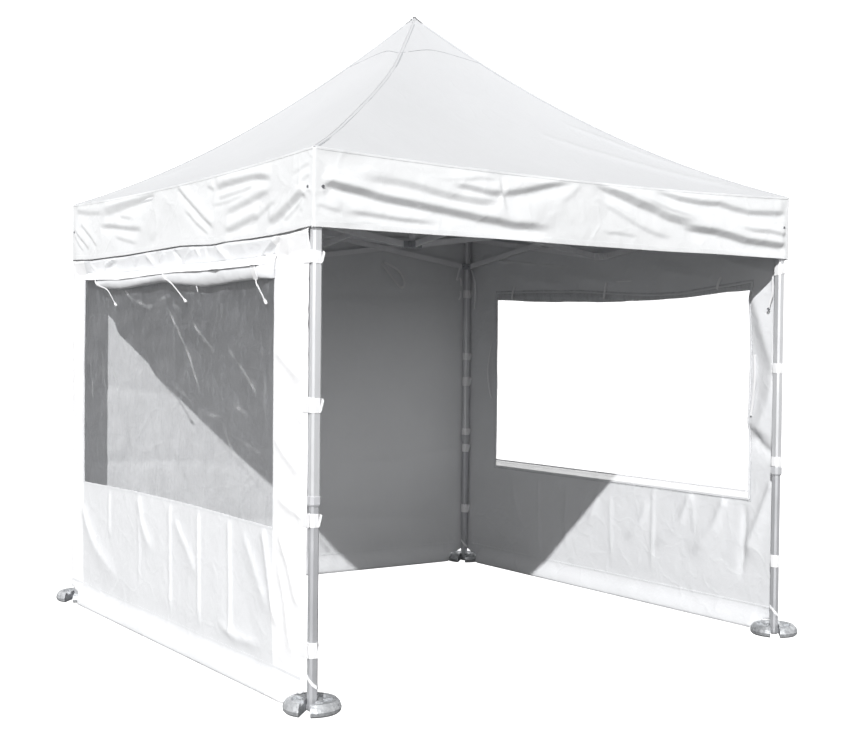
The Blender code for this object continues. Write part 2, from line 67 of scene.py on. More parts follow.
def linear(code):
    """A colour written as sRGB hex, in the linear values that shaders take."""
    channels = [int(code[k : k + 2], 16) / 255 for k in (1, 3, 5)]
    return (*[c / 12.92 if c <= 0.04045 else ((c + 0.055) / 1.055) ** 2.4 for c in channels], 1.0)


def plug(tree, node, inputs):
    """Gives a node's inputs their values, or links them where a socket stands for the value."""
    for name, value in inputs.items():
        if isinstance(value, bpy.types.NodeSocket):
            tree.links.new(value, node.inputs[name])
        else:
            node.inputs[name].default_value = value


def add(tree, kind, inputs, output=0, **settings):
    """Adds a node with its settings and links, and returns one of its outputs."""
    made = tree.nodes.new("ShaderNode" + kind)
    for name, value in settings.items():
        setattr(made, name, value)
    plug(tree, made, inputs)
    return made.outputs[output]


def new_finish(name):
    """A new material and its node tree."""
    made = bpy.data.materials.new(name)
    made.use_nodes = True
    return made, made.node_tree


def coat(made, inputs):
    """Closes a material: its Principled shader gets its values and links."""
    plug(made.node_tree, made.node_tree.nodes["Principled BSDF"], inputs)
    return made


def drawn_aluminium(name, code, roughness, mirrored_share):
    """Anodised aluminium, drawn through a die: faint streaks along its length, every 3 mm or so.

    The anodised skin is milky, so only a share of the light is mirrored and the rest is scattered.
    """
    made, tree = new_finish(name)
    place = add(tree, "TexCoord", {}, "Object")
    stretched = add(tree, "Mapping", {"Vector": place, "Scale": (1.0, 1.0, 0.01)})
    streaks = add(tree, "TexNoise", {"Vector": stretched, "Scale": 330.0, "Detail": 2.0})
    clouds = add(tree, "TexNoise", {"Vector": place, "Scale": 6.0, "Detail": 3.0})
    both = add(tree, "Math", {0: streaks, 1: clouds}, operation="MULTIPLY")
    tone = add(tree, "MapRange", {0: both, 1: 0.1, 2: 0.45, 3: 0.86, 4: 1.0})
    rough = add(tree, "MapRange", {0: clouds, 1: 0.3, 2: 0.7, 3: roughness - 0.05, 4: roughness + 0.07})
    return coat(made, {
        "Metallic": mirrored_share,
        "Base Color": add(tree, "Mix", {0: tone, 6: linear("#8A8C90"), 7: linear(code)}, 2, data_type="RGBA"),
        "Roughness": rough,
        "Normal": add(tree, "Bump", {"Strength": 0.25, "Distance": 0.0003, "Height": streaks}),
    })


def dress(names, surface, smooth=False):
    """Gives CAD nodes their finish, and rounds the shading of those that are round."""
    for name in names:
        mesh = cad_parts[name].data
        mesh.materials.clear()
        mesh.materials.append(surface)
        if smooth:
            mesh.shade_smooth()
            mesh.set_sharp_from_angle(angle=math.radians(32))


upper_tube = drawn_aluminium("anodised_upper_tube", "#DCDDDF", 0.38, 0.42)
lower_tube = drawn_aluminium("anodised_lower_tube", "#C6C7CA", 0.40, 0.50)
dress([f"outer_leg_{corner}" for corner in CORNERS], upper_tube)
dress([f"inner_leg_{corner}" for corner in CORNERS], lower_tube)

# Collars
# Injection-moulded nylon sleeves that cap the upper tubes and guide the lower ones; they are pressed on.
# Light grey, with the low sheen and the faint pitting of a textured mould.


def moulded_nylon(name, code, roughness):
    """Glass-filled nylon from a spark-eroded mould: an even colour with pits about 0.4 mm across."""
    made, tree = new_finish(name)
    place = add(tree, "TexCoord", {}, "Object")
    grain = add(tree, "TexNoise", {"Vector": place, "Scale": 900.0, "Detail": 1.0})
    patches = add(tree, "TexNoise", {"Vector": place, "Scale": 14.0, "Detail": 3.0})
    tone = add(tree, "MapRange", {0: patches, 1: 0.3, 2: 0.7, 3: 0.88, 4: 1.0})
    return coat(made, {
        "Roughness": roughness,
        "IOR": 1.53,
        "Base Color": add(tree, "Mix", {0: tone, 6: linear("#000000"), 7: linear(code)}, 2, data_type="RGBA"),
        "Normal": add(tree, "Bump", {"Strength": 0.3, "Distance": 0.0002, "Height": grain}),
    })


collar_nylon = moulded_nylon("grey_collar_nylon", "#C4C5C8", 0.45)
dress([f"leg_collar_{corner}" for corner in CORNERS], collar_nylon, True)

# Scissor frame
# Flat extruded bars in crossing pairs, riveted where they cross and pinned at their ends in cast
# brackets. The brackets at the leg tops are fixed; the lower ones slide on the legs and are locked by a pin.
SIDES = ("front", "right", "back", "left")
PIVOT_HEIGHTS = (2.368, 2.172)
FORK_PIVOT_FROM_LEG = 0.0469
FORK_HALF = 0.0185
BOLT_RADIUS = 0.0062
BOLT_HEAD = 0.0042

bar_metal = drawn_aluminium("anodised_flat_bar", "#F2F2F4", 0.5, 0.12)
bracket_nylon = moulded_nylon("grey_bracket_nylon", "#B2B4B8", 0.5)
dress([name for side in SIDES for name in (f"{side}_truss", f"inner_scissor_{side}")], bar_metal)
for corner in CORNERS:
    dress([f"corner_bracket_{corner}", f"leg_slider_{corner}"], bracket_nylon)
dress(["upper_hub", "lower_hub"], bracket_nylon)
dress(["centre_mast"], bar_metal, True)


def plated_metal(name, code, grain, polished, dull):
    """Thinly plated steel or brass: it mirrors where it is new, and is dull in spots from handling."""
    made, tree = new_finish(name)
    spots = add(tree, "TexNoise", {"Scale": grain, "Detail": 2.0})
    rough = add(tree, "MapRange", {0: spots, 1: 0.35, 2: 0.65, 3: polished, 4: dull})
    return coat(made, {"Metallic": 1.0, "Base Color": linear(code), "Roughness": rough})


def swept(rings, closed=False, caps=(0, -1)):
    """Vertices and faces of a skin over rings of points; it is capped at its ends or closes on itself."""
    rings = np.asarray(rings, float)
    count, around = rings.shape[:2]
    index = np.arange(count * around).reshape(count, around)
    after = np.roll(index, -1, axis=1)
    last = count if closed else count - 1
    above, above_after = np.roll(index, -1, axis=0), np.roll(after, -1, axis=0)
    faces = np.stack([index, after, above_after, above], -1)[:last].reshape(-1, 4).tolist()
    for end in () if closed else caps:
        faces.append(index[end, :: -1 if end == 0 else 1].tolist())
    return rings.reshape(-1, 3), faces


def make(name, parts, surface, smooth_angle=40.0):
    """Joins vertex and face lists into one piece of the marquee, with its material."""
    points, faces, offset = [], [], 0
    for part_points, part_faces in parts:
        points.append(np.asarray(part_points, float))
        faces += [[corner + offset for corner in face] for face in part_faces]
        offset += len(part_points)
    mesh = bpy.data.meshes.new(name)
    mesh.from_pydata(np.concatenate(points).tolist(), [], faces)
    mesh.materials.append(surface)
    mesh.validate()
    mesh.shade_smooth()
    mesh.set_sharp_from_angle(angle=math.radians(smooth_angle))
    made = bpy.data.objects.new(name, mesh)
    bpy.context.scene.collection.objects.link(made)
    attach(made, "root")
    return made


def circle(sides):
    """Points round a circle of radius 1."""
    return [(math.cos(2 * math.pi * k / sides), math.sin(2 * math.pi * k / sides)) for k in range(sides)]


def turned(foot, axis, profile, sides):
    """A round part about an axis, from pairs of a distance along it and a radius."""
    foot, axis = Vector(foot), Vector(axis).normalized()
    side = axis.orthogonal().normalized()
    spokes = [x * side + y * axis.cross(side) for x, y in circle(sides)]
    return swept([[foot + axis * far + radius * spoke for spoke in spokes] for far, radius in profile])


# A domed head on both outer faces of each fork at the legs, at both levels
dome = ((0, 1), (0.5, 1), (1.1, 0.75), (1.5, 0.35))
bolt_profile = [(BOLT_HEAD * far, BOLT_RADIUS * wide) for far, wide in dome]
bolt_parts = []
for right, back in CORNERS.values():
    for level in PIVOT_HEIGHTS:
        for along, across in (((-right, 0, 0), (0, -back, 0)), ((0, -back, 0), (-right, 0, 0))):
            pivot = Vector((right * LEG_AXIS, back * LEG_AXIS, level)) + FORK_PIVOT_FROM_LEG * Vector(along)
            for outwards in (-Vector(across), Vector(across)):
                bolt_parts.append(turned(pivot + outwards * FORK_HALF, outwards, bolt_profile, 12))
make("fork_bolts", bolt_parts, plated_metal("zinc_plated_bolt", "#9A9CA0", 260.0, 0.28, 0.5))

# Roof cover
# Four triangles of white polyester, woven and coated, sewn along the hips under a folded tape, with a
# second layer over the peak. The mast pushes the peak up, the brackets hold the corners, and it sags between.
ROOF_HALF = 1.503
PEAK_Z = 3.490
EAVE_Z = 2.420
HIP_SAG = 0.52
FACE_SAG = 0.030
EAVE_SAG = 0.028
# Places on the near hip, as share of the way out, and how much it hangs above the others' curve
NEAR_HIP = ((0.0, 0.0), (0.17, -0.009), (0.25, -0.019), (0.36, -0.002), (0.43, 0.012), (0.51, 0.02),
    (0.61, 0.031), (0.75, 0.029), (0.81, 0.022), (0.87, 0.016), (0.94, 0.007), (1.0, 0.0))
CLOTH_THICKNESS = 0.0014
ROOF_ROWS = 84
ROOF_STEPS = 92
# Folds that pull from the roof's corners: the faces that have them, the route as share along the face
# and distance out from the peak, the height, and the widths on the eave's side and on the hip's side
ROOF_FOLDS = (
    ((0, 2), ((0.28, 0.83), (0.41, 0.93), (0.52, 1.0), (0.67, 1.135), (0.79, 1.27), (0.905, 1.39),
     (0.95, 1.47)), 0.012, 0.05, 0.05),
    ((0, 2), ((0.72, 0.72), (0.83, 0.82), (0.895, 0.97), (0.945, 1.12), (0.96, 1.3)), 0.008, 0.045, 0.026),
    ((0, 2), ((-0.93, 1.45), (-0.66, 1.36), (-0.4, 1.26)), 0.003, 0.04, 0.04),
    ((1, 3), ((0.93, 1.46), (0.62, 1.36), (0.3, 1.2)), 0.004, 0.035, 0.05),
    ((1, 3), ((-0.95, 1.4), (-0.84, 1.22), (-0.7, 1.02)), 0.008, 0.06, 0.04),
    ((1, 3), ((-0.93, 1.47), (-0.7, 1.43), (-0.45, 1.4)), 0.004, 0.03, 0.03),
)


def coated_cloth(name, code, crumple, roughness=0.62):
    """White polyester with a soft coating: a matt sheen, faint creases and a weave.

    The real threads are 0.5 mm apart; they are drawn every 4 mm so that they show at all.
    """
    made, tree = new_finish(name)
    place = add(tree, "TexCoord", {}, "Object")
    shade = add(tree, "TexNoise", {"Vector": place, "Scale": 2.2, "Detail": 5.0, "Roughness": 0.6})
    tone = add(tree, "MapRange", {0: shade, 1: 0.3, 2: 0.7, 3: 0.0, 4: 1.0})
    darker = [0.965 * c for c in linear(code)[:3]] + [1.0]
    bent = add(tree, "TexNoise", {"Vector": place, "Scale": 5.0, "Detail": 3.0}, "Color")
    shifted = add(tree, "VectorMath", {0: bent, "Scale": 0.22}, operation="SCALE")
    wandering = add(tree, "VectorMath", {0: place, 1: shifted}, operation="ADD")
    cells = add(tree, "TexVoronoi", {"Vector": wandering, "Scale": 5.5}, feature="DISTANCE_TO_EDGE")
    ridges = add(tree, "MapRange", {0: cells, 1: 0.0, 2: 0.12, 3: 1.0, 4: 0.0})
    soft = add(tree, "TexNoise", {"Vector": place, "Scale": 16.0, "Detail": 4.0, "Roughness": 0.55})
    creases = add(tree, "Bump", {"Strength": crumple, "Distance": 0.004, "Height": ridges})
    dents = add(tree, "Bump", {"Strength": crumple, "Distance": 0.012, "Height": soft, "Normal": creases})
    slanted = add(tree, "Mapping", {"Vector": place, "Rotation": (0.0, 0.0, math.radians(45))})
    warp = add(tree, "TexWave", {"Vector": slanted, "Scale": 40.0}, 1, bands_direction="X")
    weft = add(tree, "TexWave", {"Vector": place, "Scale": 40.0}, 1, bands_direction="Z")
    weave = add(tree, "Math", {0: warp, 1: weft}, operation="ADD")
    return coat(made, {
        "Roughness": roughness,
        "IOR": 1.46,
        "Sheen Weight": 0.12,
        "Sheen Roughness": 0.5,
        "Base Color": add(tree, "Mix", {0: tone, 6: linear(code), 7: darker}, 2, data_type="RGBA"),
        "Normal": add(tree, "Bump", {"Strength": 0.05, "Distance": 0.0006, "Height": weave, "Normal": dents}),
    })


def smooth_step(value):
    """0 below 0, 1 above 1, and an even curve between."""
    value = np.clip(value, 0.0, 1.0)
    return value * value * (3 - 2 * value)


def lumps(a, b, size, seed):
    """Soft random heights from -1 to 1 over a panel, each lump about size across."""
    table = np.random.default_rng(seed).uniform(-1, 1, (64, 64))
    u, v = np.asarray(a, float) / size, np.asarray(b, float) / size
    i, j = np.floor(u).astype(int), np.floor(v).astype(int)
    s, t = smooth_step(u - i), smooth_step(v - j)
    near = table[i % 64, j % 64] * (1 - s) + table[(i + 1) % 64, j % 64] * s
    far = table[i % 64, (j + 1) % 64] * (1 - s) + table[(i + 1) % 64, (j + 1) % 64] * s
    return near * (1 - t) + far * t


def fold(a, b, route, height, left, right, ends=(0.2, 0.2), widths=(1.0, 1.0)):
    """Height of one fold at the panel's points.

    Its crest follows the route. It falls away over left on the left of the route's direction and
    over right on the other side, dies out over a share of its length at each end, and its width
    grows from the first of widths to the second.
    """
    stops = np.asarray(route, float)
    steps = np.diff(stops, axis=0)
    lengths = np.hypot(*steps.T)
    run = np.concatenate([[0.0], np.cumsum(lengths)])
    best = np.full(np.broadcast(a, b).shape, 1e9)
    turning, share = 0.0 * best, 0.0 * best
    for k, (start, step, length) in enumerate(zip(stops, steps, lengths)):
        da, db = a - start[0], b - start[1]
        along = np.clip((da * step[0] + db * step[1]) / length**2, 0.0, 1.0)
        away = np.hypot(da - along * step[0], db - along * step[1])
        closer = away < best
        best = np.where(closer, away, best)
        turning = np.where(closer, step[0] * db - step[1] * da, turning)
        share = np.where(closer, (run[k] + along * length) / run[-1], share)
    width = np.where(turning > 0, left, right) * (widths[0] + (widths[1] - widths[0]) * share)
    fade = smooth_step(share / ends[0]) * smooth_step((1 - share) / ends[1])
    return height * fade * np.exp(-((best / width) ** 1.4))


def left_right(route, rising, falling):
    """Widths left and right of a route, from those on the side where its second value rises and falls."""
    return (rising, falling) if route[-1][0] > route[0][0] else (falling, rising)


def on_side(k, a, out, z):
    """Places in the marquee's frame: a along side k (front, right, back, left), out from the middle."""
    c, s = round(math.cos(k * math.pi / 2)), round(math.sin(k * math.pi / 2))
    return np.stack(np.broadcast_arrays(c * a + s * out, s * a - c * out, z), axis=-1)


def roof_height(k, a, out):
    """Height of face k of the roof: its hips hang in a curve and the face hangs between them."""
    reach = out / ROOF_HALF
    along = a / np.maximum(out, 1e-9)
    hip = PEAK_Z - (PEAK_Z - EAVE_Z) * reach - HIP_SAG * reach * (1 - reach)
    sag = (1 - along**2) * (FACE_SAG * np.sin(math.pi * reach) + EAVE_SAG * reach**3)
    towards_near_hip = {0: -along, 3: along}.get(k, -1.0)
    near = smooth_step((towards_near_hip - 0.2) / 0.8)
    return hip - sag + near * np.interp(reach, *np.transpose(NEAR_HIP))


def cap_edge(share):
    """Distance out from the peak at which the second layer ends, by the share along a face."""
    return 0.215 + 0.07 * share**2


def thicken(piece):
    """Gives a sheet its two faces and its edges."""
    skin = piece.modifiers.new("cloth", "SOLIDIFY")
    skin.thickness = CLOTH_THICKNESS
    skin.offset = 0.0
    skin.use_rim = True


# The cover's grid: rows out from the peak, and steps round its four faces
out = ROOF_HALF * np.linspace(0.004, 1.0, ROOF_ROWS)[:, None] + np.zeros(ROOF_STEPS)
share = np.linspace(-1.0, 1.0, ROOF_STEPS, endpoint=False) + 0.0 * out
a = share * out
faces = []
for k in range(4):
    lift = 0.0022 * smooth_step((cap_edge(share) - out) / 0.008)
    lift += 0.0030 * lumps(a + 7 * k, out, 0.42, 11 + k) * smooth_step(out / 0.4)
    lift += 0.0010 * lumps(a + 3 * k, out, 0.13, 21 + k)
    for with_fold, route, height, eave_width, hip_width in ROOF_FOLDS:
        if k in with_fold:
            widths = left_right(route, eave_width, hip_width)
            lift += fold(share * 1.5, out, [(s * 1.5, o) for s, o in route], height, *widths)
    lift *= smooth_step((1 - np.abs(share)) * out / 0.05)
    faces.append(on_side(k, a, out, roof_height(k, a, out) - 0.5 * CLOTH_THICKNESS + lift))
# The roof's cloth is the valance's and walls' cloth, given a darker colour here: painted shade that dims the
# roof
roof_polyester = coated_cloth("white_roof_polyester", "#C8C9CB", 0.12)
roof_skin = swept(np.concatenate(faces, axis=1), caps=(0,))
roof = make("roof_cover", [roof_skin], roof_polyester, 60.0)
thicken(roof)
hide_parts(*[f"{side}_roof_panel" for side in SIDES])

# Roof seams
# The hips are bound with a folded tape over a thin cord, stitched down beside it; a grey strip beside
# # the tape is painted shadow of the welt. A taped edge closes the second layer at the peak, with a grey
# # line of painted shadow under it, and a button plugs the tip.
HIP_RUN = 1.488
HIP_TAPE_HALF = 0.008
HIP_WELT_RADIUS = 0.0026
TAPE_LIFT = 0.0012
BUTTON_PROFILE = ((-0.0075, 0.0105), (-0.004, 0.0115), (-0.001, 0.0105), (0.0005, 0.007), (0.001, 0.002))


def unit(arrows):
    """The same directions with a length of 1."""
    return arrows / np.linalg.norm(arrows, axis=-1, keepdims=True)


def extruded(centre, across, up, section, closed=False):
    """A skin along a line, from a section as pairs of a distance across and a distance up."""
    return swept(np.stack([centre + across * x + up * y for x, y in section], axis=1), closed)


def tape_on_roof(k, a, out, half, lift):
    """A flat tape laid along a line on one roof face, half its width to each side."""
    centre = on_side(k, a, out, roof_height(k, a, out))
    along = unit(np.gradient(centre, axis=0))
    uphill = unit(on_side(k, a, out - 0.02, roof_height(k, a, out - 0.02)) - centre)
    face = unit(np.cross(along, uphill))
    face *= np.sign(face[:, 2:3])
    across = np.cross(face, along) * np.broadcast_to(half, len(a))[:, None]
    return extruded(centre, across, face, ((-1, -0.001), (-0.8, lift), (0.8, lift), (1, -0.001)))


hip_parts = []
down = np.linspace(0.0, HIP_RUN, 60)
for k in range(4):
    for side in (-1, 1):
        hip_parts.append(tape_on_roof(k, side * (down + 0.003), down + 0.012, HIP_TAPE_HALF, TAPE_LIFT))
for k, side in ((0, -1), (0, 1), (2, -1), (2, 1)):
    out = np.linspace(0.02, 1.495, 90)
    welt = on_side(k, side * out, out, roof_height(k, side * out, out) + TAPE_LIFT)
    along = unit(np.gradient(welt, axis=0))
    across = unit(np.cross(along, (0.0, 0.0, 1.0)))
    welt_section = [(HIP_WELT_RADIUS * x, HIP_WELT_RADIUS * y) for x, y in circle(6)]
    hip_parts.append(extruded(welt, across, np.cross(across, along), welt_section))
hip_binding = make("hip_binding", hip_parts, roof_polyester)

# Each painted shadow strip's face and end of it, and its widest half width; the width wavers so that the
# shadow breaks into dashes
seam_shadow_parts = []
run = np.linspace(0.0, 1.0, 180)
for k, side, widest in ((0, -1, 0.0048), (3, -1, 0.0036), (0, 1, 0.0022), (2, -1, 0.0024)):
    wide = widest * np.clip(0.62 + 1.1 * lumps(run * HIP_RUN, 0 * run + k, 0.10, 63 + k), 0.10, 1.0)
    seam_shadow_parts.append(tape_on_roof(k, side * (0.035 + 1.440 * run), 0.053 + 1.440 * run, wide, 0.0016))
share = np.linspace(-1.0, 1.0, 36)
out = cap_edge(share) + 0.003
seam_shadow_parts += [tape_on_roof(k, share * out, out, 0.0022, TAPE_LIFT) for k in range(4)]
# Grey for the painted shadow lines beside the hip welts and under the second layer's edge
painted_seam_shadow = coated_cloth("seam_shadow_grey", "#A9ABAE", 0.1, 0.8)
seam_shadow_piece = make("seam_shadow_lines", seam_shadow_parts, painted_seam_shadow)

button = turned((0.0, 0.0, PEAK_Z), (0, 0, 1), BUTTON_PROFILE, 20)
make("peak_button", [button], moulded_nylon("black_peak_button", "#4A4C50", 0.4))

# Valance
# A band of the roof's cloth, 0.35 m deep, sewn to its edge all the way round, with a hem below and a
# doubled strip at each corner. It is only tied at the corners' eyelets, so long folds run from them.
VALANCE_BOTTOM_Z = 2.074
VALANCE_STEPS = {"front": 0.0105, "right": 0.020, "back": 0.020, "left": 0.0105}
VALANCE_ROWS = 54
CORNER_ROUND = 0.015
FRAME_TOP_Z = 2.41
HUNG_FROM_Z = 2.425
HEM_DEPTH = 0.027
STRIP_TOP_Z = 2.415
# How much of each fold's height goes down as furrow, and as much up as ridge
FURROW_SHARE = {"front": 0.60, "right": 0.55, "back": 0.60, "left": 0.66}
# The left side's lower edge, as distance along it seen from outside and height
LEFT_HEM = ((-1.503, 2.083), (-1.418, 2.082), (-1.175, 2.071), (-0.849, 2.07), (-0.62, 2.068),
    (-0.262, 2.072), (0.005, 2.075), (0.132, 2.076), (0.255, 2.072), (0.375, 2.066), (0.491, 2.061),
    (0.581, 2.061), (0.647, 2.065), (0.922, 2.063), (1.12, 2.065), (1.308, 2.07), (1.398, 2.077),
    (1.503, 2.083))
# Each furrow's marks in pixels of the photo's frame, how thick it looks there in pixels, its depth as a
# share of its width, and how it dies out and widens. The right side has the front's furrows the other way
# round, and the back the left's.
FRONT_FURROWS = (
    (((324, 182), (345, 188), (365, 193), (385, 199), (405, 203), (430, 208), (455, 213), (480, 219),
     (500, 222), (515, 226), (535, 227), (557, 231)), 6.5, 0.785, (0.03, 0.15), (0.7, 1.1)),
    (((356, 176), (380, 180), (400, 183), (420, 188), (440, 194), (460, 199), (480, 202), (502, 204)), 6.5,
     0.44, (0.15, 0.12), (1.3, 0.6)),
    (((448, 184), (470, 188), (490, 193), (503, 194)), 5.5, 0.6, (0.3, 0.05), (0.9, 1.0)),
    (((503, 194), (515, 193), (530, 190), (545, 187), (558, 184), (580, 180)), 6.0, 0.6, (0.05, 0.3),
     (1.0, 0.9)),
    (((438, 180), (460, 180), (480, 179), (502, 180)), 3.0, 0.28, (0.3, 0.2)),
    (((342, 212), (365, 214), (385, 217), (405, 220), (425, 222), (445, 224)), 4.0, 0.49, (0.2, 0.3),
     (1.0, 0.9)),
    (((318, 204), (332, 209), (345, 213)), 3.5, 0.33, (0.1, 0.3)),
    (((594, 181), (610, 190), (625, 197), (640, 204), (655, 210), (670, 218), (685, 222), (702, 223)), 7.0,
     0.7, (0.15, 0.2), (0.7, 1.1)),
    (((680, 226), (700, 230), (715, 232), (730, 236), (745, 241), (760, 243), (787, 247)), 6.0, 0.785,
     (0.15, 0.05), (0.9, 1.0)),
    (((648, 190), (665, 193), (680, 199), (695, 202), (712, 204), (720, 204), (735, 209), (750, 213),
     (787, 214)), 4.8, 0.6, (0.15, 0.05), (0.8, 1.2)),
    (((738, 227), (755, 231), (770, 232), (787, 236)), 4.0, 0.49, (0.25, 0.05), (1.0, 0.8)),
    (((596, 199), (612, 209), (625, 217), (640, 227), (655, 234), (676, 240)), 4.2, 0.33),
    (((600, 232), (620, 234), (642, 238)), 3.0, 0.28, (0.3, 0.3)),
    (((640, 196), (662, 207), (682, 214), (700, 220)), 3.0, 0.38, (0.3, 0.3)),
    (((560, 205), (572, 196), (582, 186)), 5.0, 0.22, (0.3, 0.3), (1.2, 0.8)),
    (((335, 223), (350, 225), (368, 224), (385, 228)), 3.0, 0.28, (0.3, 0.3)),
)
LEFT_FURROWS = (
    (((175, 186), (185, 198), (195, 209), (205, 220), (214, 229)), 4.2, 0.49, (0.1, 0.12), (0.8, 1.0)),
    (((182, 208), (195, 223), (208, 235)), 3.2, 0.38, (0.3, 0.12), (0.9, 1.0)),
    (((303, 190), (292, 202), (280, 214), (266, 226)), 6.0, 0.6, (0.08, 0.15), (0.5, 1.1)),
    (((304, 192), (297, 205), (288, 216), (281, 223)), 2.8, 0.55, (0.1, 0.15), (0.8, 1.0)),
    (((307, 189), (303, 202), (298, 215)), 2.4, 0.49, (0.1, 0.2), (0.8, 1.0)),
    (((272, 189), (255, 198), (240, 206), (222, 215)), 5.0, 0.49, (0.2, 0.2), (0.9, 1.1)),
    (((258, 214), (245, 222), (232, 229), (223, 233)), 4.8, 0.6, (0.15, 0.15), (0.9, 1.0)),
    (((277, 199), (262, 212), (252, 222), (246, 229)), 3.0, 0.44, (0.2, 0.2), (0.9, 1.0)),
    (((272, 178), (258, 177), (250, 178), (235, 182), (222, 185), (213, 190)), 5.2, 0.55, (0.15, 0.1),
     (0.7, 1.1)),
    (((213, 190), (205, 186)), 3.0, 0.38, (0.1, 0.3)),
    (((256, 182), (245, 190), (230, 195), (213, 200)), 3.2, 0.44, (0.2, 0.2), (0.8, 1.0)),
    (((244, 195), (228, 202), (210, 206)), 2.6, 0.38, (0.2, 0.2), (0.9, 1.0)),
    (((154, 192), (145, 197), (130, 203), (115, 209), (98, 215)), 7.5, 0.44, (0.1, 0.2), (0.6, 1.2)),
    (((98, 226), (115, 227), (130, 229), (144, 229)), 4.0, 0.55, (0.2, 0.2), (0.9, 1.0)),
    (((116, 217), (134, 219)), 3.0, 0.38, (0.3, 0.3)),
    (((112, 237), (125, 241), (138, 244)), 3.2, 0.38, (0.3, 0.3)),
    (((80, 224), (89, 236), (98, 248)), 2.8, 0.44, (0.15, 0.15), (0.8, 1.0)),
    (((74, 230), (82, 241), (89, 251)), 2.6, 0.44, (0.05, 0.2), (0.8, 1.0)),
    (((74, 236), (79, 246), (83, 252)), 2.0, 0.38, (0.1, 0.2), (0.8, 1.0)),
    (((75, 212), (90, 214), (104, 213)), 4.0, 0.33, (0.1, 0.3)),
    (((308, 163), (300, 168), (290, 176)), 2.6, 0.28, (0.1, 0.3), (0.8, 1.1)),
    (((308, 174), (302, 180), (296, 186)), 2.6, 0.38, (0.1, 0.3), (0.8, 1.1)),
    (((148, 246), (156, 232), (158, 215)), 5.0, 0.22, (0.3, 0.3)),
)
# For the marked sides: the axis across them, the plane of the marks, and how much deeper and narrower
# the furrows are than they look
MARKED_SIDES = {"front": (1, -1.510, 1.25, 0.85), "left": (0, -1.512, 1.10, 0.90)}
FRAME_MIDDLE = (425.0, 375.0)


def furrow(side, marks, thickness, depth, ends=(0.2, 0.2), widths=(1.0, 1.0)):
    """A furrow's fold from its marks: route, height, widths above and below its line, and its endings."""
    axis, plane, deeper, narrower = MARKED_SIDES[side]
    view, eye = np.array(camera.matrix_world.to_3x3()), np.array(EYE)
    on_film = (np.array(marks) - FRAME_MIDDLE) / FOCAL_PX * (1.0, -1.0)
    rays = np.column_stack([on_film, np.full(len(marks), -1.0)]) @ view.T
    spots = eye + rays * ((plane - eye[axis]) / rays[:, axis])[:, None]
    # How many pixels a metre takes up at the middle mark
    ruler = (spots[len(spots) // 2] + [(0.0, 0.0, 0.0), (0.0, 0.0, 0.1)] - eye) @ view
    pixels = FOCAL_PX * np.hypot(*np.diff(ruler[:, :2] / ruler[:, 2:], axis=0)[0]) / 0.1
    above = float(thickness / pixels / 1.05)
    line = np.column_stack([spots[:, 0] if axis == 1 else -spots[:, 1], spots[:, 2]])
    along = unit(np.gradient(line, axis=0))
    upwards = np.column_stack([-along[:, 1], along[:, 0]])
    upwards *= np.where(upwards[:, 1:] < 0, -1, 1)
    # Its line runs half a width below the dark band's middle. Lengths are kept in whole millimetres.
    route = np.round(np.clip(line - 0.5 * above * upwards, (-1.49, 0.0), (1.49, 3.0)), 3)
    height = round(round(-depth * above, 4) * deeper, 4)
    width = round(above, 3) * narrower
    return route.tolist(), height, round(width, 3), round(1.5 * width, 3), ends, widths


VALANCE_FOLDS = {
    "front": [furrow("front", *row) for row in FRONT_FURROWS],
    "left": [furrow("left", *row) for row in LEFT_FURROWS],
}


def valance_bulge(side, a, z):
    """How far the valance stands out of its plane; a is the distance along it, seen from outside."""
    seed = 31 + SIDES.index(side)
    seen = -a if side in ("right", "back") else a
    out = np.zeros(np.broadcast(a, z).shape)
    marked = "front" if side in ("front", "right") else "left"
    for route, height, above, below, *fading in VALANCE_FOLDS[marked]:
        # The cloth pushed aside stands up as a ridge over the furrow
        crest = [(x, y + 1.35 * above) for x, y in route]
        for way, line, upper, lower in ((1, route, above, 1.35 * below), (-1, crest, 2.3 * above, above)):
            widths = left_right(route, upper, lower)
            out = out + way * FURROW_SHARE[side] * fold(seen, z, line, height, *widths, *fading)
    out = out + 0.0030 * lumps(a + 0.4 * z, z * 1.6 - 0.3 * a, 0.21, seed)
    out = out + 0.0010 * lumps(a, z * 1.3 + 0.2 * a, 0.075, seed + 10)
    # Between its corners it hangs clear of the frame and the walls
    clear = 0.006 * smooth_step((FRAME_TOP_Z - z) / 0.15) * smooth_step((ROOF_HALF - np.abs(a)) / 0.12)
    away = smooth_step((ROOF_HALF - np.abs(a)) / 0.045)
    hung = smooth_step((HUNG_FROM_Z - EAVE_SAG * (1 - (a / ROOF_HALF) ** 2) - z) / 0.04)
    hem = 0.45 + 0.55 * smooth_step((z - VALANCE_BOTTOM_Z) / 0.05)
    # Its folds go no deeper than the frame or the wall behind it
    deepest = np.where(np.abs(a) > 1.42, -0.008, -0.0135 if side in ("front", "right") else -0.009)
    return np.maximum(out * hem * away + clear, deepest) * hung


def valance_place(side, a, z, lift=0.0):
    """Places on the valance's outer face, in the marquee's own frame."""
    over = np.maximum(np.abs(a) - (ROOF_HALF - CORNER_ROUND), 0.0) / CORNER_ROUND
    drop = CORNER_ROUND * (1 - np.sqrt(np.maximum(1 - np.minimum(over, 1.0) ** 2 * 0.5, 0.0))) * 0.6
    out = ROOF_HALF - 0.001 + valance_bulge(side, a, z) + lift - drop
    return on_side(SIDES.index(side), a - np.sign(a) * drop, out, z)


def valance_top(a):
    """Height of the roof's edge along a side."""
    return roof_height(0, a, ROOF_HALF + 0.0 * a) - 0.001


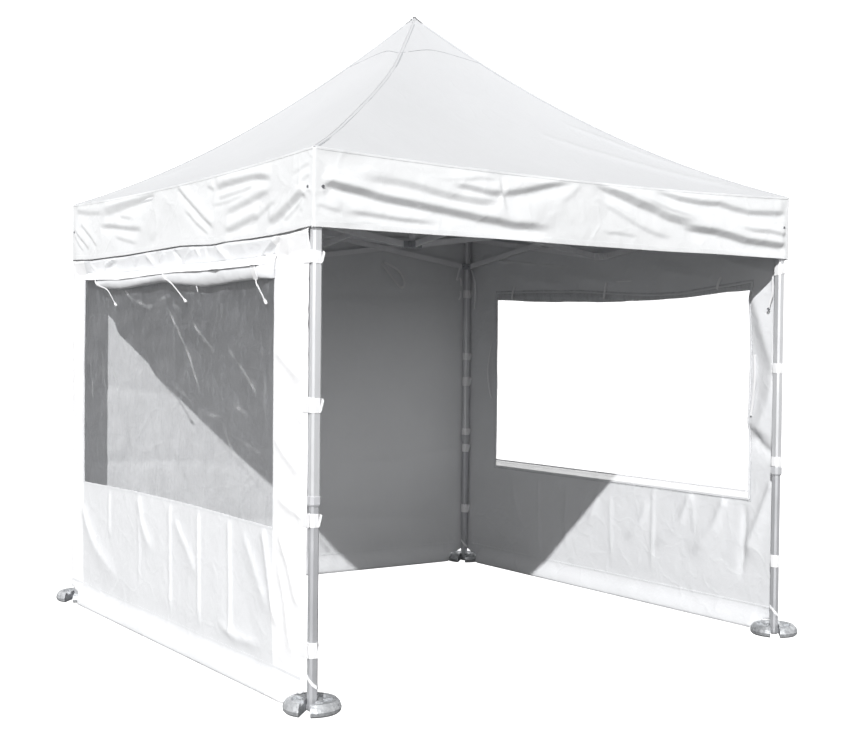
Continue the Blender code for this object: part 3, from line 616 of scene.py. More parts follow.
def valance_bottom(a, side):
    """Height of the valance's lower edge, which waves a little."""
    if side in ("left", "back"):
        return np.interp(a, *zip(*LEFT_HEM))
    return VALANCE_BOTTOM_Z + 0.004 + 0.003 * lumps(a, 0.0 * a + 5.0, 0.5, 40 + SIDES.index(side))


def face_of(place, side, way=1):
    """One face of a panel, as a function of the distance along it, the height and the lift off it."""
    return lambda a, z, lift: place(side, a, z, way * lift)


def strip_on(face, route, half, lift, tuck=0.0012):
    """A flat strip of cloth or tape laid along a route on a panel's face, half its width to each side."""
    along = unit(np.gradient(np.asarray(route, float), axis=0))
    across = np.stack([-along[:, 1], along[:, 0]], axis=-1)
    bevel = 0.0012
    section = ((-half, -tuck), (bevel - half, lift), (0.0, lift * 1.15), (half - bevel, lift), (half, -tuck))
    return swept(np.stack([face(*(route + across * side).T, height) for side, height in section], axis=1))


def straight(start, end, steps):
    """Points along a straight line on a panel."""
    return np.linspace(start, end, steps)


bands, hem_parts, eave_parts, corner_parts = [], [], [], []
for side in SIDES:
    a = np.linspace(-ROOF_HALF, ROOF_HALF, int(2 * ROOF_HALF / VALANCE_STEPS[side]) + 1)
    down = np.linspace(0.0, 1.0, VALANCE_ROWS)[:, None]
    z = valance_top(a) * (1 - down) + valance_bottom(a, side) * down
    bands.append(valance_place(side, a + 0.0 * z, z)[:, :-1])
    on_valance = face_of(valance_place, side)
    a = np.linspace(-ROOF_HALF + 0.012, ROOF_HALF - 0.012, 220)
    hem_line = np.stack([a, valance_bottom(a, side) + HEM_DEPTH / 2], -1)
    hem_parts.append(strip_on(on_valance, hem_line, HEM_DEPTH / 2, 0.0016))
    eave_parts.append(strip_on(on_valance, np.stack([a, valance_top(a) - 0.004], -1), 0.0060, 0.0022))
    for centre in (0.0105 - ROOF_HALF, ROOF_HALF - 0.0105):
        line = straight((centre, VALANCE_BOTTOM_Z + 0.004), (centre, STRIP_TOP_Z), 40)
        corner_parts.append(strip_on(on_valance, line, 0.0075, 0.0010))
valance_polyester = coated_cloth("white_valance_polyester", "#E2E3E4", 0.22)
valance_skin = swept(np.concatenate(bands, axis=1), caps=())
valance = make("valance_cloth", [valance_skin], valance_polyester, 60.0)
thicken(valance)
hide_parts("valance")
edges = {"valance_hem": hem_parts, "eave_welt": eave_parts, "valance_corner_strips": corner_parts}
valance_edges = [make(name, parts, valance_polyester) for name, parts in edges.items()]

# Eyelets
# Pressed rings of plated brass, 11 mm across, at both sides of each corner of the valance; a
# lashing through them keeps the valance down. Each is a rolled ring round a hole.
EYELET_RADIUS = 0.0055
EYELET_TUBE = 0.0022
EYELET_FROM_CORNER = 0.046
EYELET_Z = 2.252
OUTWARD = {"front": (0, -1, 0), "right": (1, 0, 0), "back": (0, 1, 0), "left": (-1, 0, 0)}


def ring_at(centre, normal, radius, tube):
    """A ring of round section about a point."""
    normal = Vector(normal).normalized()
    side = normal.orthogonal().normalized()
    spokes = np.array([x * side + y * normal.cross(side) for x, y in circle(18)])
    section = [(tube * x, tube * y) for x, y in circle(8)]
    return extruded(np.array(centre) + radius * spokes, spokes, np.array(normal), section, closed=True)


eyelet_parts, hole_parts = [], []
for side in SIDES:
    for a in (EYELET_FROM_CORNER - ROOF_HALF, ROOF_HALF - EYELET_FROM_CORNER):
        spot = valance_place(side, a, EYELET_Z, 0.0015)
        eyelet_parts.append(ring_at(spot, OUTWARD[side], EYELET_RADIUS, EYELET_TUBE))
        hole_parts.append(turned(spot, OUTWARD[side], ((-0.001, EYELET_RADIUS), (0.0008, EYELET_RADIUS)), 16))
eyelet_brass = plated_metal("dark_plated_brass", "#8E8F93", 400.0, 0.3, 0.55)
make("valance_eyelets", eyelet_parts, eyelet_brass)
make("eyelet_holes", hole_parts, moulded_nylon("eyelet_shadow", "#5A5B5E", 0.8))

# Walls
# Sheets of the same coated polyester, hung from the frame under the valance and strapped to the legs.
# The two side walls have a window; each sheet has a stiff seam above it, a hem and a flap along the ground.
WALL_PLANE = 1.498
WALL_FRONT_Y = {"left": -1.458, "right": -1.437, "back": -1.4915}
WALL_CORNER = 1.4915
WALL_TOP_Z = 2.36
# Heights between which a wall's rows are shared out: ground, sill, head and top
ROW_STOPS = (0.0, 0.75, 1.94, WALL_TOP_Z)
GROUND_SEAM_Z = 0.130
# Above this the valance covers the walls
COVERED_Z = 2.075
# Where the left wall's front edge gapes from the leg: height, half height and how far
LEFT_GAPS = ((2.042, 0.024, 0.004), (1.859, 0.009, 0.004), (1.729, 0.018, 0.005), (1.667, 0.024, 0.004),
    (1.535, 0.012, 0.002), (1.1, 0.014, 0.002), (0.13, 0.06, 0.006))
# How high a wall's lower edge lies over a leg weight, by the distance from the leg's axis
OVER_WEIGHT = ((0.029, 0.085), (0.06, 0.064), (0.1, 0.061), (0.11, 0.058), (0.122, 0.047), (0.129, 0.028),
    (0.136, 0.004))
# Each window's two ends along the wall, and the lines of its sill and its head
LEFT_WINDOW = (-1.147, 1.293, ((-1.147, 0.757), (-0.871, 0.759), (-0.373, 0.767), (0.407, 0.765),
    (1.293, 0.744)), ((-1.147, 1.925), (1.293, 1.951)))
RIGHT_WINDOW = (-1.242, 1.131, ((-1.242, 0.731), (1.131, 0.731)), ((-1.242, 1.958), (-0.993, 1.935),
    (-0.673, 1.905), (-0.388, 1.906), (0.236, 1.945), (0.697, 1.958), (1.131, 1.963)))
NO_WINDOW = (-0.5, 0.5, ((-0.5, 0.75), (0.5, 0.75)), ((-0.5, 1.95), (0.5, 1.95)))
# Folds of each wall, as distance along it and height, then height, the widths left and right of the
# route, and how it dies out and widens. Outwards is positive.
WALL_FOLDS = {
    "left": (
        (((0.86, 0.72), (0.86, 0.56), (0.86, 0.44)), 0.01, 0.018, 0.01, (0.1, 0.3), (1.0, 1.2)),
        (((0.41, 0.75), (0.36, 0.6), (0.2, 0.44)), 0.012, 0.045, 0.026, (0.1, 0.3), (0.8, 1.5)),
        (((0.41, 0.64), (0.4, 0.45), (0.41, 0.22)), 0.006, 0.014, 0.012, (0.1, 0.3)),
        (((-0.01, 0.75), (-0.01, 0.48), (-0.01, 0.15)), 0.01, 0.018, 0.011, (0.08, 0.2)),
        (((-0.37, 0.755), (-0.375, 0.48), (-0.38, 0.15)), 0.012, 0.018, 0.011, (0.08, 0.2)),
        (((-0.04, 0.69), (-0.22, 0.551), (-0.37, 0.4)), 0.008, 0.045, 0.022, (0.2, 0.2), (0.7, 1.2)),
        (((-0.71, 0.75), (-0.72, 0.48), (-0.73, 0.15)), 0.012, 0.018, 0.011, (0.08, 0.2)),
        (((-0.84, 0.72), (-0.98, 0.544), (-1.12, 0.36)), 0.009, 0.055, 0.028, (0.2, 0.2), (0.7, 1.3)),
        (((-1.06, 0.75), (-1.12, 0.54), (-1.2, 0.3)), 0.014, 0.03, 0.02, (0.08, 0.2), (0.9, 1.1)),
        (((1.31, 0.62), (1.22, 0.5), (1.07, 0.37), (0.68, 0.22)), 0.014, 0.07, 0.04, (0.1, 0.3),
         (0.7, 1.5)),
        (((-1.2, 0.75), (-1.3, 0.62), (-1.4, 0.42)), 0.011, 0.024, 0.028, (0.15, 0.2), (0.7, 1.2)),
        (((-1.19, 0.64), (-1.28, 0.44), (-1.34, 0.2)), 0.01, 0.022, 0.026, (0.2, 0.2), (0.8, 1.2)),
        (((-1.14, 1.18), (-1.24, 1.1), (-1.41, 1.01)), 0.007, 0.022, 0.026, (0.2, 0.2), (0.8, 1.2)),
        (((-1.16, 1.56), (-1.28, 1.48), (-1.41, 1.42)), 0.006, 0.02, 0.026, (0.2, 0.2), (0.8, 1.2)),
        (((-1.18, 0.9), (-1.3, 0.86), (-1.43, 0.83)), 0.006, 0.018, 0.02, (0.2, 0.1), (1.2, 0.7)),
        (((-0.55, 0.24), (-0.8, 0.19), (-1.05, 0.2)), 0.012, 0.03, 0.03, (0.3, 0.3)),
    ),
    "right": (
        (((-0.48, 0.737), (-0.475, 0.48), (-0.47, 0.19)), -0.007, 0.011, 0.011, (0.08, 0.2)),
        (((-0.81, 0.715), (-0.815, 0.6), (-0.82, 0.47)), -0.006, 0.01, 0.01, (0.1, 0.3)),
        (((-0.08, 0.7), (-0.09, 0.42), (-0.11, 0.17)), -0.005, 0.012, 0.012, (0.3, 0.3)),
        (((-0.81, 0.73), (-0.72, 0.537), (-0.46, 0.33)), -0.014, 0.034, 0.026, (0.1, 0.3), (0.7, 1.4)),
        (((-1.08, 0.72), (-0.98, 0.522), (-0.79, 0.32)), -0.016, 0.036, 0.028, (0.1, 0.3), (0.7, 1.4)),
        (((-0.44, 0.64), (-0.36, 0.48), (-0.22, 0.36)), -0.01, 0.03, 0.024, (0.2, 0.3), (0.8, 1.3)),
        (((0.65, 0.7), (0.64, 0.4), (0.62, 0.13)), -0.007, 0.013, 0.013, (0.1, 0.2)),
        (((0.0, 0.723), (0.06, 0.56), (0.14, 0.4)), -0.008, 0.024, 0.02, (0.2, 0.3), (0.8, 1.2)),
        (((0.95, 0.7), (0.9, 0.5), (0.82, 0.3)), -0.008, 0.03, 0.024, (0.2, 0.3), (0.8, 1.2)),
        (((0.35, 0.7), (0.36, 0.45), (0.34, 0.2)), -0.006, 0.02, 0.02, (0.2, 0.3)),
        (((-1.22, 0.72), (-1.22, 0.48), (-1.19, 0.25)), 0.012, 0.022, 0.016, (0.2, 0.2), (0.8, 1.2)),
        (((-1.43, 0.86), (-1.33, 0.62), (-1.22, 0.38)), -0.022, 0.03, 0.05, (0.1, 0.2), (0.7, 1.2)),
        (((-1.445, 1.5), (-1.4, 1.28), (-1.3, 1.08)), -0.032, 0.1, 0.045, (0.25, 0.15), (0.8, 1.1)),
        (((-1.28, 1.1), (-1.32, 1.05), (-1.43, 0.985)), 0.018, 0.05, 0.02, (0.2, 0.1)),
        (((-1.25, 1.95), (-1.34, 1.7), (-1.45, 1.42)), -0.03, 0.06, 0.12, (0.15, 0.15)),
        (((-1.0, 1.985), (-0.72, 2.03), (-0.4, 2.11)), -0.009, 0.026, 0.034, (0.2, 0.3), (0.8, 1.3)),
        (((-0.35, 1.96), (0.0, 2.01), (0.5, 2.1)), -0.009, 0.026, 0.034, (0.2, 0.3), (0.8, 1.3)),
        (((0.3, 1.985), (0.7, 2.04), (1.2, 2.15)), -0.008, 0.026, 0.034, (0.2, 0.3), (0.8, 1.3)),
        (((-1.43, 2.0), (-1.1, 2.09), (-0.7, 2.25)), -0.012, 0.03, 0.04, (0.1, 0.3), (0.7, 1.3)),
    ),
    "back": (
        (((-1.45, 1.96), (-0.7, 1.9), (0.2, 1.93), (1.45, 1.98)), 0.008, 0.06, 0.03),
        (((1.47, 1.33), (0.8, 1.3), (0.1, 1.36)), 0.007, 0.05, 0.03, (0.1, 0.4), (0.7, 1.4)),
        (((-1.47, 1.33), (-0.9, 1.26), (-0.3, 1.22)), 0.007, 0.05, 0.03, (0.1, 0.4), (0.7, 1.4)),
        (((1.47, 0.84), (0.9, 0.76), (0.2, 0.74)), 0.008, 0.05, 0.03, (0.1, 0.4), (0.7, 1.4)),
        (((-1.47, 0.84), (-0.8, 0.82), (-0.1, 0.74)), 0.007, 0.05, 0.03, (0.1, 0.4), (0.7, 1.4)),
        (((-1.45, 0.35), (-0.4, 0.42), (0.6, 0.36), (1.45, 0.3)), 0.009, 0.06, 0.04),
        (((0.02, 2.3), (0.0, 1.5), (0.03, 0.2)), -0.006, 0.1, 0.1),
    ),
}
# Pleats between the valance and the stiff flap, pulled by the gathered top hem
TOP_PLEATS = (
    (((1.19, 2.05), (1.09, 1.995)), 0.007, 0.01, 0.008),
    (((0.976, 2.017), (0.756, 2.062)), 0.014, 0.012, 0.01),
    (((0.94, 1.998), (0.74, 2.042)), -0.009, 0.009, 0.009),
    (((0.516, 2.01), (0.416, 2.06)), 0.009, 0.012, 0.009),
    (((0.331, 2.065), (0.22, 1.996)), 0.011, 0.018, 0.012),
    (((0.166, 2.005), (0.061, 2.062)), 0.01, 0.012, 0.009),
    (((-0.03, 2.065), (-0.132, 1.994)), -0.01, 0.012, 0.012),
    (((-0.16, 1.998), (-0.235, 2.03), (-0.313, 2.066)), 0.012, 0.013, 0.01),
    (((-0.313, 2.066), (-0.34, 2.03), (-0.362, 1.99)), 0.01, 0.013, 0.012),
    (((-0.43, 2.062), (-0.455, 1.998)), -0.006, 0.014, 0.014),
    (((-0.56, 2.062), (-0.61, 2.02), (-0.7, 1.98)), 0.013, 0.034, 0.011),
    (((-0.82, 2.055), (-0.88, 1.995)), 0.004, 0.03, 0.02),
    (((-1.022, 1.974), (-1.1, 2.015), (-1.19, 2.064)), 0.015, 0.012, 0.01),
    (((-1.05, 1.97), (-1.13, 2.008), (-1.215, 2.056)), -0.013, 0.01, 0.01),
    (((-1.252, 1.971), (-1.297, 2.034)), 0.006, 0.01, 0.009),
)


def above_windows(a, z):
    """The left wall between flap and valance: pleated, leaning out a little, then in behind the valance."""
    top = np.interp(-a, *zip(*LEFT_HEM)) - 0.009 + 0.003 * lumps(a, 0.0 * a, 0.16, 62)
    leaning = np.interp(z - top, (-0.118, -0.090, 0.0, 0.009, 0.030), (0.0, -0.010, 0.008, -0.009, -0.011))
    pleats = sum(fold(a, z, *pleat, (0.2, 0.3)) for pleat in TOP_PLEATS)
    return leaning * (1 + 0.35 * lumps(a, 0.0 * a, 0.11, 61)) + pleats * smooth_step((COVERED_Z - z) / 0.02)


def wall_bulge(side, a, z):
    """How far a wall stands out of its plane."""
    seed = 51 + SIDES.index(side)
    out = sum(fold(a, z, *row) for row in WALL_FOLDS[side]) + 0.0045 * lumps(a, z * 0.7, 0.47, seed)
    out = out + 0.0018 * lumps(a * 1.3, z + 0.2 * a, 0.17, seed + 10) + 0.0007 * lumps(a, z, 0.06, seed + 20)
    if side == "left":
        # Behind the valance it lies flat on the frame
        out = out * (1 - 0.8 * smooth_step((z - COVERED_Z) / 0.02)) + above_windows(a, z)
    held = smooth_step(z / 0.05) * smooth_step((WALL_TOP_Z - z) / 0.05)
    ends = smooth_step((WALL_CORNER + 0.004 - np.abs(a)) / 0.05)
    # The flap below the ground seam leans, so that its side in the sun looks up
    lean = smooth_step((GROUND_SEAM_Z - z) / GROUND_SEAM_Z)
    seam = np.exp(-(((z - GROUND_SEAM_Z) / 0.075) ** 2))
    way = 1.0 if side == "left" else -1.0
    flap = way * (0.036 * lean - 0.004 * seam) * smooth_step((1.40 - np.abs(a)) / 0.12)
    return out * held * (0.25 + 0.75 * ends) + flap


def wall_place(side, a, z, lift=0.0):
    """Places on a wall's middle, in the marquee's own frame; lift is outwards."""
    a, out, z = np.broadcast_arrays(a, WALL_PLANE + wall_bulge(side, a, z) + lift, z)
    return np.stack([a, out, z] if side == "back" else [OUTWARD[side][0] * out, a, z], axis=-1)


def lattice(stops, spacings):
    """Values from stop to stop at about the spacings, each stop among them, and their shares of the way."""
    shares = []
    for k, (low, high, spacing) in enumerate(zip(stops, stops[1:], spacings)):
        shares.append(np.linspace(k, k + 1, max(1, round(abs(high - low) / spacing)), endpoint=False))
    shares = np.concatenate([*shares, [len(stops) - 1]])
    return np.interp(shares, range(len(stops)), stops), shares


def wall_grid(side, window, spacing):
    """A wall's grid of places, which squares are window, and which lie beside it."""
    start, end, sill_line, head_line = window
    top_spacing = 0.009 if side == "left" else spacing
    along, a_share = lattice([WALL_FRONT_Y[side], start, end, WALL_CORNER], [spacing] * 3)
    z_share = lattice(ROW_STOPS, [spacing, spacing, top_spacing])[1]
    # The lower edge lies on the ground, and is lifted over the leg weights at its ends
    floor = np.interp(np.hypot(LEG_AXIS - np.abs(along), 0.029), *zip(*OVER_WEIGHT))
    sill, head = np.interp(along, *zip(*sill_line)), np.interp(along, *zip(*head_line))
    levels = np.array([floor, sill, head, np.full_like(head, WALL_TOP_Z)])
    band = np.minimum(z_share.astype(int), 2)
    z = levels[band] + (levels[band + 1] - levels[band]) * (z_share - band)[:, None]
    a = along + 0.0 * z
    if side == "left":
        near_edge = np.clip(1.0 - a_share / 0.25, 0.0, 1.0)
        for height, half, gap in LEFT_GAPS:
            a = a + near_edge * gap * np.exp(-(((z - height) / half) ** 4))
    across = (a_share[:-1] + a_share[1:])[None, :] / 2
    upward = (z_share[:-1] + z_share[1:])[:, None] / 2
    inside = (across > 1) & (across < 2) & (upward > 1) & (upward < 2)
    beside = ((across < 1) | (across > 2)) & (upward > 0)
    return wall_place(side, a, z), inside, beside


def grid_part(points, keep=slice(None)):
    """Vertices and faces of the kept squares of a grid, without loose vertices."""
    rows, columns = points.shape[:2]
    index = np.arange(rows * columns).reshape(rows, columns)
    quads = np.stack([index[:-1, :-1], index[:-1, 1:], index[1:, 1:], index[1:, :-1]], -1)[keep]
    used, renumbered = np.unique(quads, return_inverse=True)
    return points.reshape(-1, 3)[used], renumbered.reshape(-1, 4).tolist()


wall_polyester = coated_cloth("white_wall_polyester", "#DFE0E2", 0.2)
# The strips beside the left window are doubled, so less light goes through them and they look whiter
doubled_polyester = coated_cloth("white_doubled_polyester", "#F3F3F4", 0.2)
grids = (("left", LEFT_WINDOW, 0.0113), ("right", RIGHT_WINDOW, 0.0145), ("back", NO_WINDOW, 0.020))
for side, window, spacing in grids:
    places, glazed, beside = wall_grid(side, window, spacing)
    keep = ~glazed | (side == "back")
    wall = make(f"{side}_wall_cloth", [grid_part(places, keep)], wall_polyester, 60.0)
    if side == "left":
        wall.data.materials.append(doubled_polyester)
        wall.data.polygons.foreach_set("material_index", beside[keep].astype(np.int32))
    thicken(wall)
    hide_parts(f"{side}_wall")

# Windows
# Clear flexible film, 0.5 mm thick, sewn to the inside of the cloth round each opening. Rolling and
# # folding has left it with soft waves and with creases from pinching; the creases are painted white, a
# # painted highlight where they catch the light.
FILM_LAP = 0.020
CREASE_WIDTH = 0.0085
# Each crease's route and how bright its painted highlight is
LEFT_CREASES = (
    (((0.7, 1.905), (0.52, 1.817), (0.32, 1.774), (0.17, 1.787)), 1.0),
    (((0.1, 1.806), (-0.07, 1.648), (-0.24, 1.485), (-0.33, 1.372), (-0.34, 1.257)), 0.8),
    (((-0.24, 1.697), (-0.39, 1.606), (-0.54, 1.533)), 0.8),
    (((-0.66, 1.568), (-0.87, 1.434), (-1.02, 1.323)), 0.9),
    (((0.01, 1.372), (-0.21, 1.302), (-0.33, 1.252)), 0.5),
    (((-0.72, 1.288), (-0.92, 1.245)), 0.9),
    (((-0.37, 1.239), (-0.62, 1.221)), 0.6),
    (((-0.6, 1.23), (-0.72, 1.08), (-0.8, 1.01)), 0.5),
    (((-0.75, 1.14), (-0.92, 1.1), (-1.08, 1.06)), 0.5),
    (((0.93, 1.509), (0.79, 1.368), (0.72, 1.228)), 0.5),
    (((1.02, 1.56), (0.98, 1.38), (0.92, 1.24)), 0.4),
    (((1.2, 1.5), (1.16, 1.3), (1.12, 1.16)), 0.4),
    (((0.2, 1.8), (0.02, 1.83), (-0.02, 1.78), (-0.14, 1.74)), 0.5),
    (((-1.0, 1.7), (-1.06, 1.4), (-1.08, 1.1)), 0.35),
    (((-1.1, 1.8), (-1.12, 1.5), (-1.13, 1.2)), 0.3),
    (((-0.9, 1.42), (-1.02, 1.36), (-1.14, 1.34)), 0.3),
    (((0.6, 1.86), (0.48, 1.85), (0.4, 1.87)), 0.4),
)
RIGHT_CREASES = (
    (((0.9, 1.6), (0.6, 1.4), (0.4, 1.16)), 0.3),
    (((-0.2, 1.7), (-0.5, 1.5), (-0.9, 1.46)), 0.3),
    (((-1.0, 1.2), (-0.6, 1.0), (-0.2, 0.94)), 0.25),
)


def window_film():
    """Flexible film: clear, glossy, a little hazed, with rubbed streaks, and a painted highlight along its
    creases.
    """
    made, tree = new_finish("clear_window_film")
    place = add(tree, "TexCoord", {}, "Object")
    crease_highlight = add(tree, "Attribute", {}, "Fac", attribute_name="crease")
    haze = add(tree, "TexNoise", {"Vector": place, "Scale": 3.5, "Detail": 5.0, "Roughness": 0.62})
    faint = add(tree, "MapRange", {0: haze, 1: 0.35, 2: 0.75, 3: 0.12, 4: 0.22})
    highlight_cover = add(tree, "Math", {0: crease_highlight, 1: 0.55}, operation="MULTIPLY")
    hung = add(tree, "Mapping", {"Vector": place, "Scale": (1.0, 1.0, 0.30)})
    streaks = add(tree, "TexNoise", {"Vector": hung, "Scale": 20.0, "Detail": 4.0, "Distortion": 1.0})
    rumpling = {"Vector": place, "Scale": 22.0, "Detail": 6.0, "Roughness": 0.7, "Distortion": 1.5}
    rubbed = add(tree, "Math", {0: streaks, 1: add(tree, "TexNoise", rumpling)}, operation="MULTIPLY")
    marks = add(tree, "MapRange", {0: rubbed, 1: 0.22, 2: 0.42, 3: 0.0, 4: 0.15})
    worn = add(tree, "Math", {0: faint, 1: marks}, operation="ADD")
    waves = add(tree, "TexNoise", {"Vector": place, "Scale": 9.0, "Detail": 3.0})
    # The film is grey, and white along the creases: a painted highlight where they catch the light
    base = add(tree, "Mix", {0: crease_highlight, 6: linear("#A6A8AC"), 7: linear("#F0F0F1")}, 2, data_type="RGBA")
    return coat(made, {
        "IOR": 1.5,
        "Roughness": 0.16,
        "Base Color": base,
        "Alpha": add(tree, "Math", {0: worn, 1: highlight_cover}, operation="ADD", use_clamp=True),
        "Normal": add(tree, "Bump", {"Strength": 0.25, "Distance": 0.01, "Height": waves}),
    })


film = window_film()
for side, window, creases in (("left", LEFT_WINDOW, LEFT_CREASES), ("right", RIGHT_WINDOW, RIGHT_CREASES)):
    start, end, sill_line, head_line = window
    up = np.linspace(0.0, 1.0, 96)[:, None]
    a = np.linspace(start - FILM_LAP, end + FILM_LAP, 190) + 0.0 * up
    low, high = np.interp(a, *zip(*sill_line)), np.interp(a, *zip(*head_line))
    z = low - FILM_LAP + (high - low + 2 * FILM_LAP) * up
    edge = np.minimum(np.minimum(a - start, end - a), np.minimum(z - low, high - z))
    line = np.zeros(a.shape)
    for route, strength in creases:
        line = np.maximum(line, strength * fold(a, z, route, 1.0, CREASE_WIDTH, CREASE_WIDTH, (0.25, 0.25)))
    line *= 0.55 + 0.45 * lumps(a, z, 0.05, 87)
    wave = 0.006 * lumps(a, z * 0.8, 0.30, 81) + 0.003 * lumps(a + z, z - 0.4 * a, 0.11, 82)
    points = wall_place(side, a, z, -0.0030)
    points[..., 0] += OUTWARD[side][0] * smooth_step((edge - 0.002) / 0.05) * (wave + 0.003 * line)
    pane = make(f"{side}_window_film", [grid_part(points)], film, 60.0)
    # The creases' painted highlight, kept as a mask for the film's colour and alpha
    mark = pane.data.attributes.new("crease", "FLOAT", "POINT")
    mark.data.foreach_set("value", np.clip(line, 0, 1).astype(np.float32).ravel())
    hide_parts(f"{side}_window")

# Window surrounds
# The cut edges of each opening are turned and sewn down on a narrow tape. A stiff flap is sewn on over
# the opening outside, and covers the top of the roll. Inside, a wider tape holds the film's lower edge.
FLAP_SEAM_Z = 1.985
STITCH_PITCH, STITCH_LENGTH, STITCH_HALF = 0.011, 0.0075, 0.0008
# The flap's section, as distance out of the wall and height above its lip: it slopes out over the roll
FLAP_SECTION = ((0.0015, 0.043), (0.028, 0.039), (0.05, 0.026), (0.06, 0.012), (0.0635, 0.0), (0.06, 0.0),
    (0.056, 0.01), (0.046, 0.021), (0.026, 0.031), (0.0015, 0.035))
# Each lip's line, as distance along the wall and height
LIPS = {
    "left": ((-1.16, 1.937), (-0.95, 1.932), (-0.45, 1.932), (-0.1, 1.94), (0.3, 1.933), (0.6, 1.93),
        (0.9, 1.942), (1.265, 1.951)),
    "right": ((-1.25, 1.968), (-0.6, 1.965), (0.2, 1.967), (1.14, 1.965)),
}


def stitches(face, route, lift=0.0024):
    """Raised thread dashes along a route. Real ones are 4 mm long, and are drawn longer so that they show."""
    run = np.concatenate([[0.0], np.cumsum(np.hypot(*np.diff(route, axis=0).T))])
    starts = np.arange(STITCH_PITCH, run[-1] - STITCH_LENGTH, STITCH_PITCH)
    stops = np.stack([starts, starts + STITCH_LENGTH], axis=-1)
    a, b = np.interp(stops, run, route[:, 0]), np.interp(stops, run, route[:, 1])
    da, db = [STITCH_HALF * (end - start) / STITCH_LENGTH for start, end in (a.T, b.T)]
    corners = []
    for end in (0, 1):
        for side, height in ((-1, 0.4), (0, 1.0), (1, 0.4)):
            corners.append(face(a[:, end] - db * side, b[:, end] + da * side, lift * height))
    dashes = 6 * np.arange(len(starts))[:, None, None] + [[0, 1, 4, 3], [1, 2, 5, 4]]
    return np.stack(corners, axis=1).reshape(-1, 3), dashes.reshape(-1, 4).tolist()


surround_parts, flap_parts, thread_parts = [], [], []
for side, window in (("left", LEFT_WINDOW), ("right", RIGHT_WINDOW)):
    outer_face, inner_face = face_of(wall_place, side), face_of(wall_place, side, -1)
    start, end, sill_line, head_line = window
    # Four lines round the opening, a little outside its edge: sill, head and the two ends
    grow = 0.006
    a = np.linspace(start - grow, end + grow, 120)
    low, high = np.interp(a, *zip(*sill_line)) - grow, np.interp(a, *zip(*head_line)) + grow
    ends = [straight((a[k], low[k]), (a[k], high[k]), 60) for k in (0, -1)]
    for line in (np.stack([a, low], -1), np.stack([a, high], -1), *ends):
        surround_parts.append(strip_on(outer_face, line, 0.006, 0.0019))
        thread_parts.append(stitches(outer_face, line))
        surround_parts.append(strip_on(inner_face, line, 0.006, 0.0050))
    lip = LIPS[side]
    a = np.linspace(lip[0][0], lip[-1][0], 170)
    # The flap lies flat on the wall at both ends
    flat = 0.14 + 0.86 * smooth_step(np.minimum(a - a[0], a[-1] - a) / 0.11)
    wave = 0.0018 * lumps(a, 0.0 * a, 0.24, 91) + 0.0010 * lumps(a, 0.0 * a, 0.08, 92)
    lines = []
    for out, rise in FLAP_SECTION:
        lines.append(outer_face(a, FLAP_SEAM_Z, out * flat + 0.3 * wave))
        lines[-1][:, 2] = np.interp(a, *zip(*lip)) + wave + rise
    flap_parts.append(swept(np.stack(lines, axis=1)))
    a = np.linspace(lip[0][0], lip[-1][0], 160)
    thread_parts.append(stitches(outer_face, np.stack([a, np.interp(a, *zip(*lip)) + 0.048], -1)))
make("window_surrounds", surround_parts, wall_polyester)
make("window_flaps", flap_parts, doubled_polyester, 50.0)

# Inside the right window a band of milky film, 35 mm deep, is sewn along the sill under a narrow tape
milky_film, tree = new_finish("milky_film_band")
cloud = add(tree, "TexNoise", {"Scale": 30.0, "Detail": 3.0})
veil = add(tree, "MapRange", {0: cloud, 1: 0.3, 2: 0.7, 3: 0.52, 4: 0.66})
coat(milky_film, {"Roughness": 0.45, "IOR": 1.5, "Base Color": linear("#EDEEEF"), "Alpha": veil})
sill = RIGHT_WINDOW[2][0][1]
a = np.linspace(RIGHT_WINDOW[0], RIGHT_WINDOW[1], 160)
band = grid_part(np.stack([inner_face(a, sill + rise, 0.0062) for rise in (-0.004, 0.036)]))
make("right_sill_band", [band], milky_film)
tape_line = np.stack([a, np.full_like(a, sill + 0.0405)], -1)
make("right_sill_tape", [strip_on(inner_face, tape_line, 0.0045, 0.0078, 0.0)], wall_polyester)
thread_parts.append(stitches(inner_face, tape_line - (0.0, 0.016), lift=0.0075))

# Rolled window covers
# A cloth cover for each window, rolled up outside the wall under the flap. It is thickest between its
# three ties, sags there, and ends in the spiral of its layers.
ROLL_SECTION = 28
ROLL_DEPTH = 0.0250
ROLL_STEP = 0.012
# Each roll's top, and its lower side as distance along the wall and height
ROLLS = {
    "left": (1.951, ((-1.16, 1.871), (-0.92, 1.867), (-0.67, 1.861), (-0.49, 1.851), (-0.3, 1.866),
        (-0.1, 1.881), (0.03, 1.898), (0.21, 1.889), (0.44, 1.88), (0.67, 1.877), (0.92, 1.892),
        (1.06, 1.908))),
    "right": (1.98, ((-1.245, 1.917), (-0.994, 1.909), (-0.764, 1.892), (-0.485, 1.879), (-0.024, 1.877),
        (0.507, 1.888), (0.818, 1.9), (1.15, 1.918))),
}


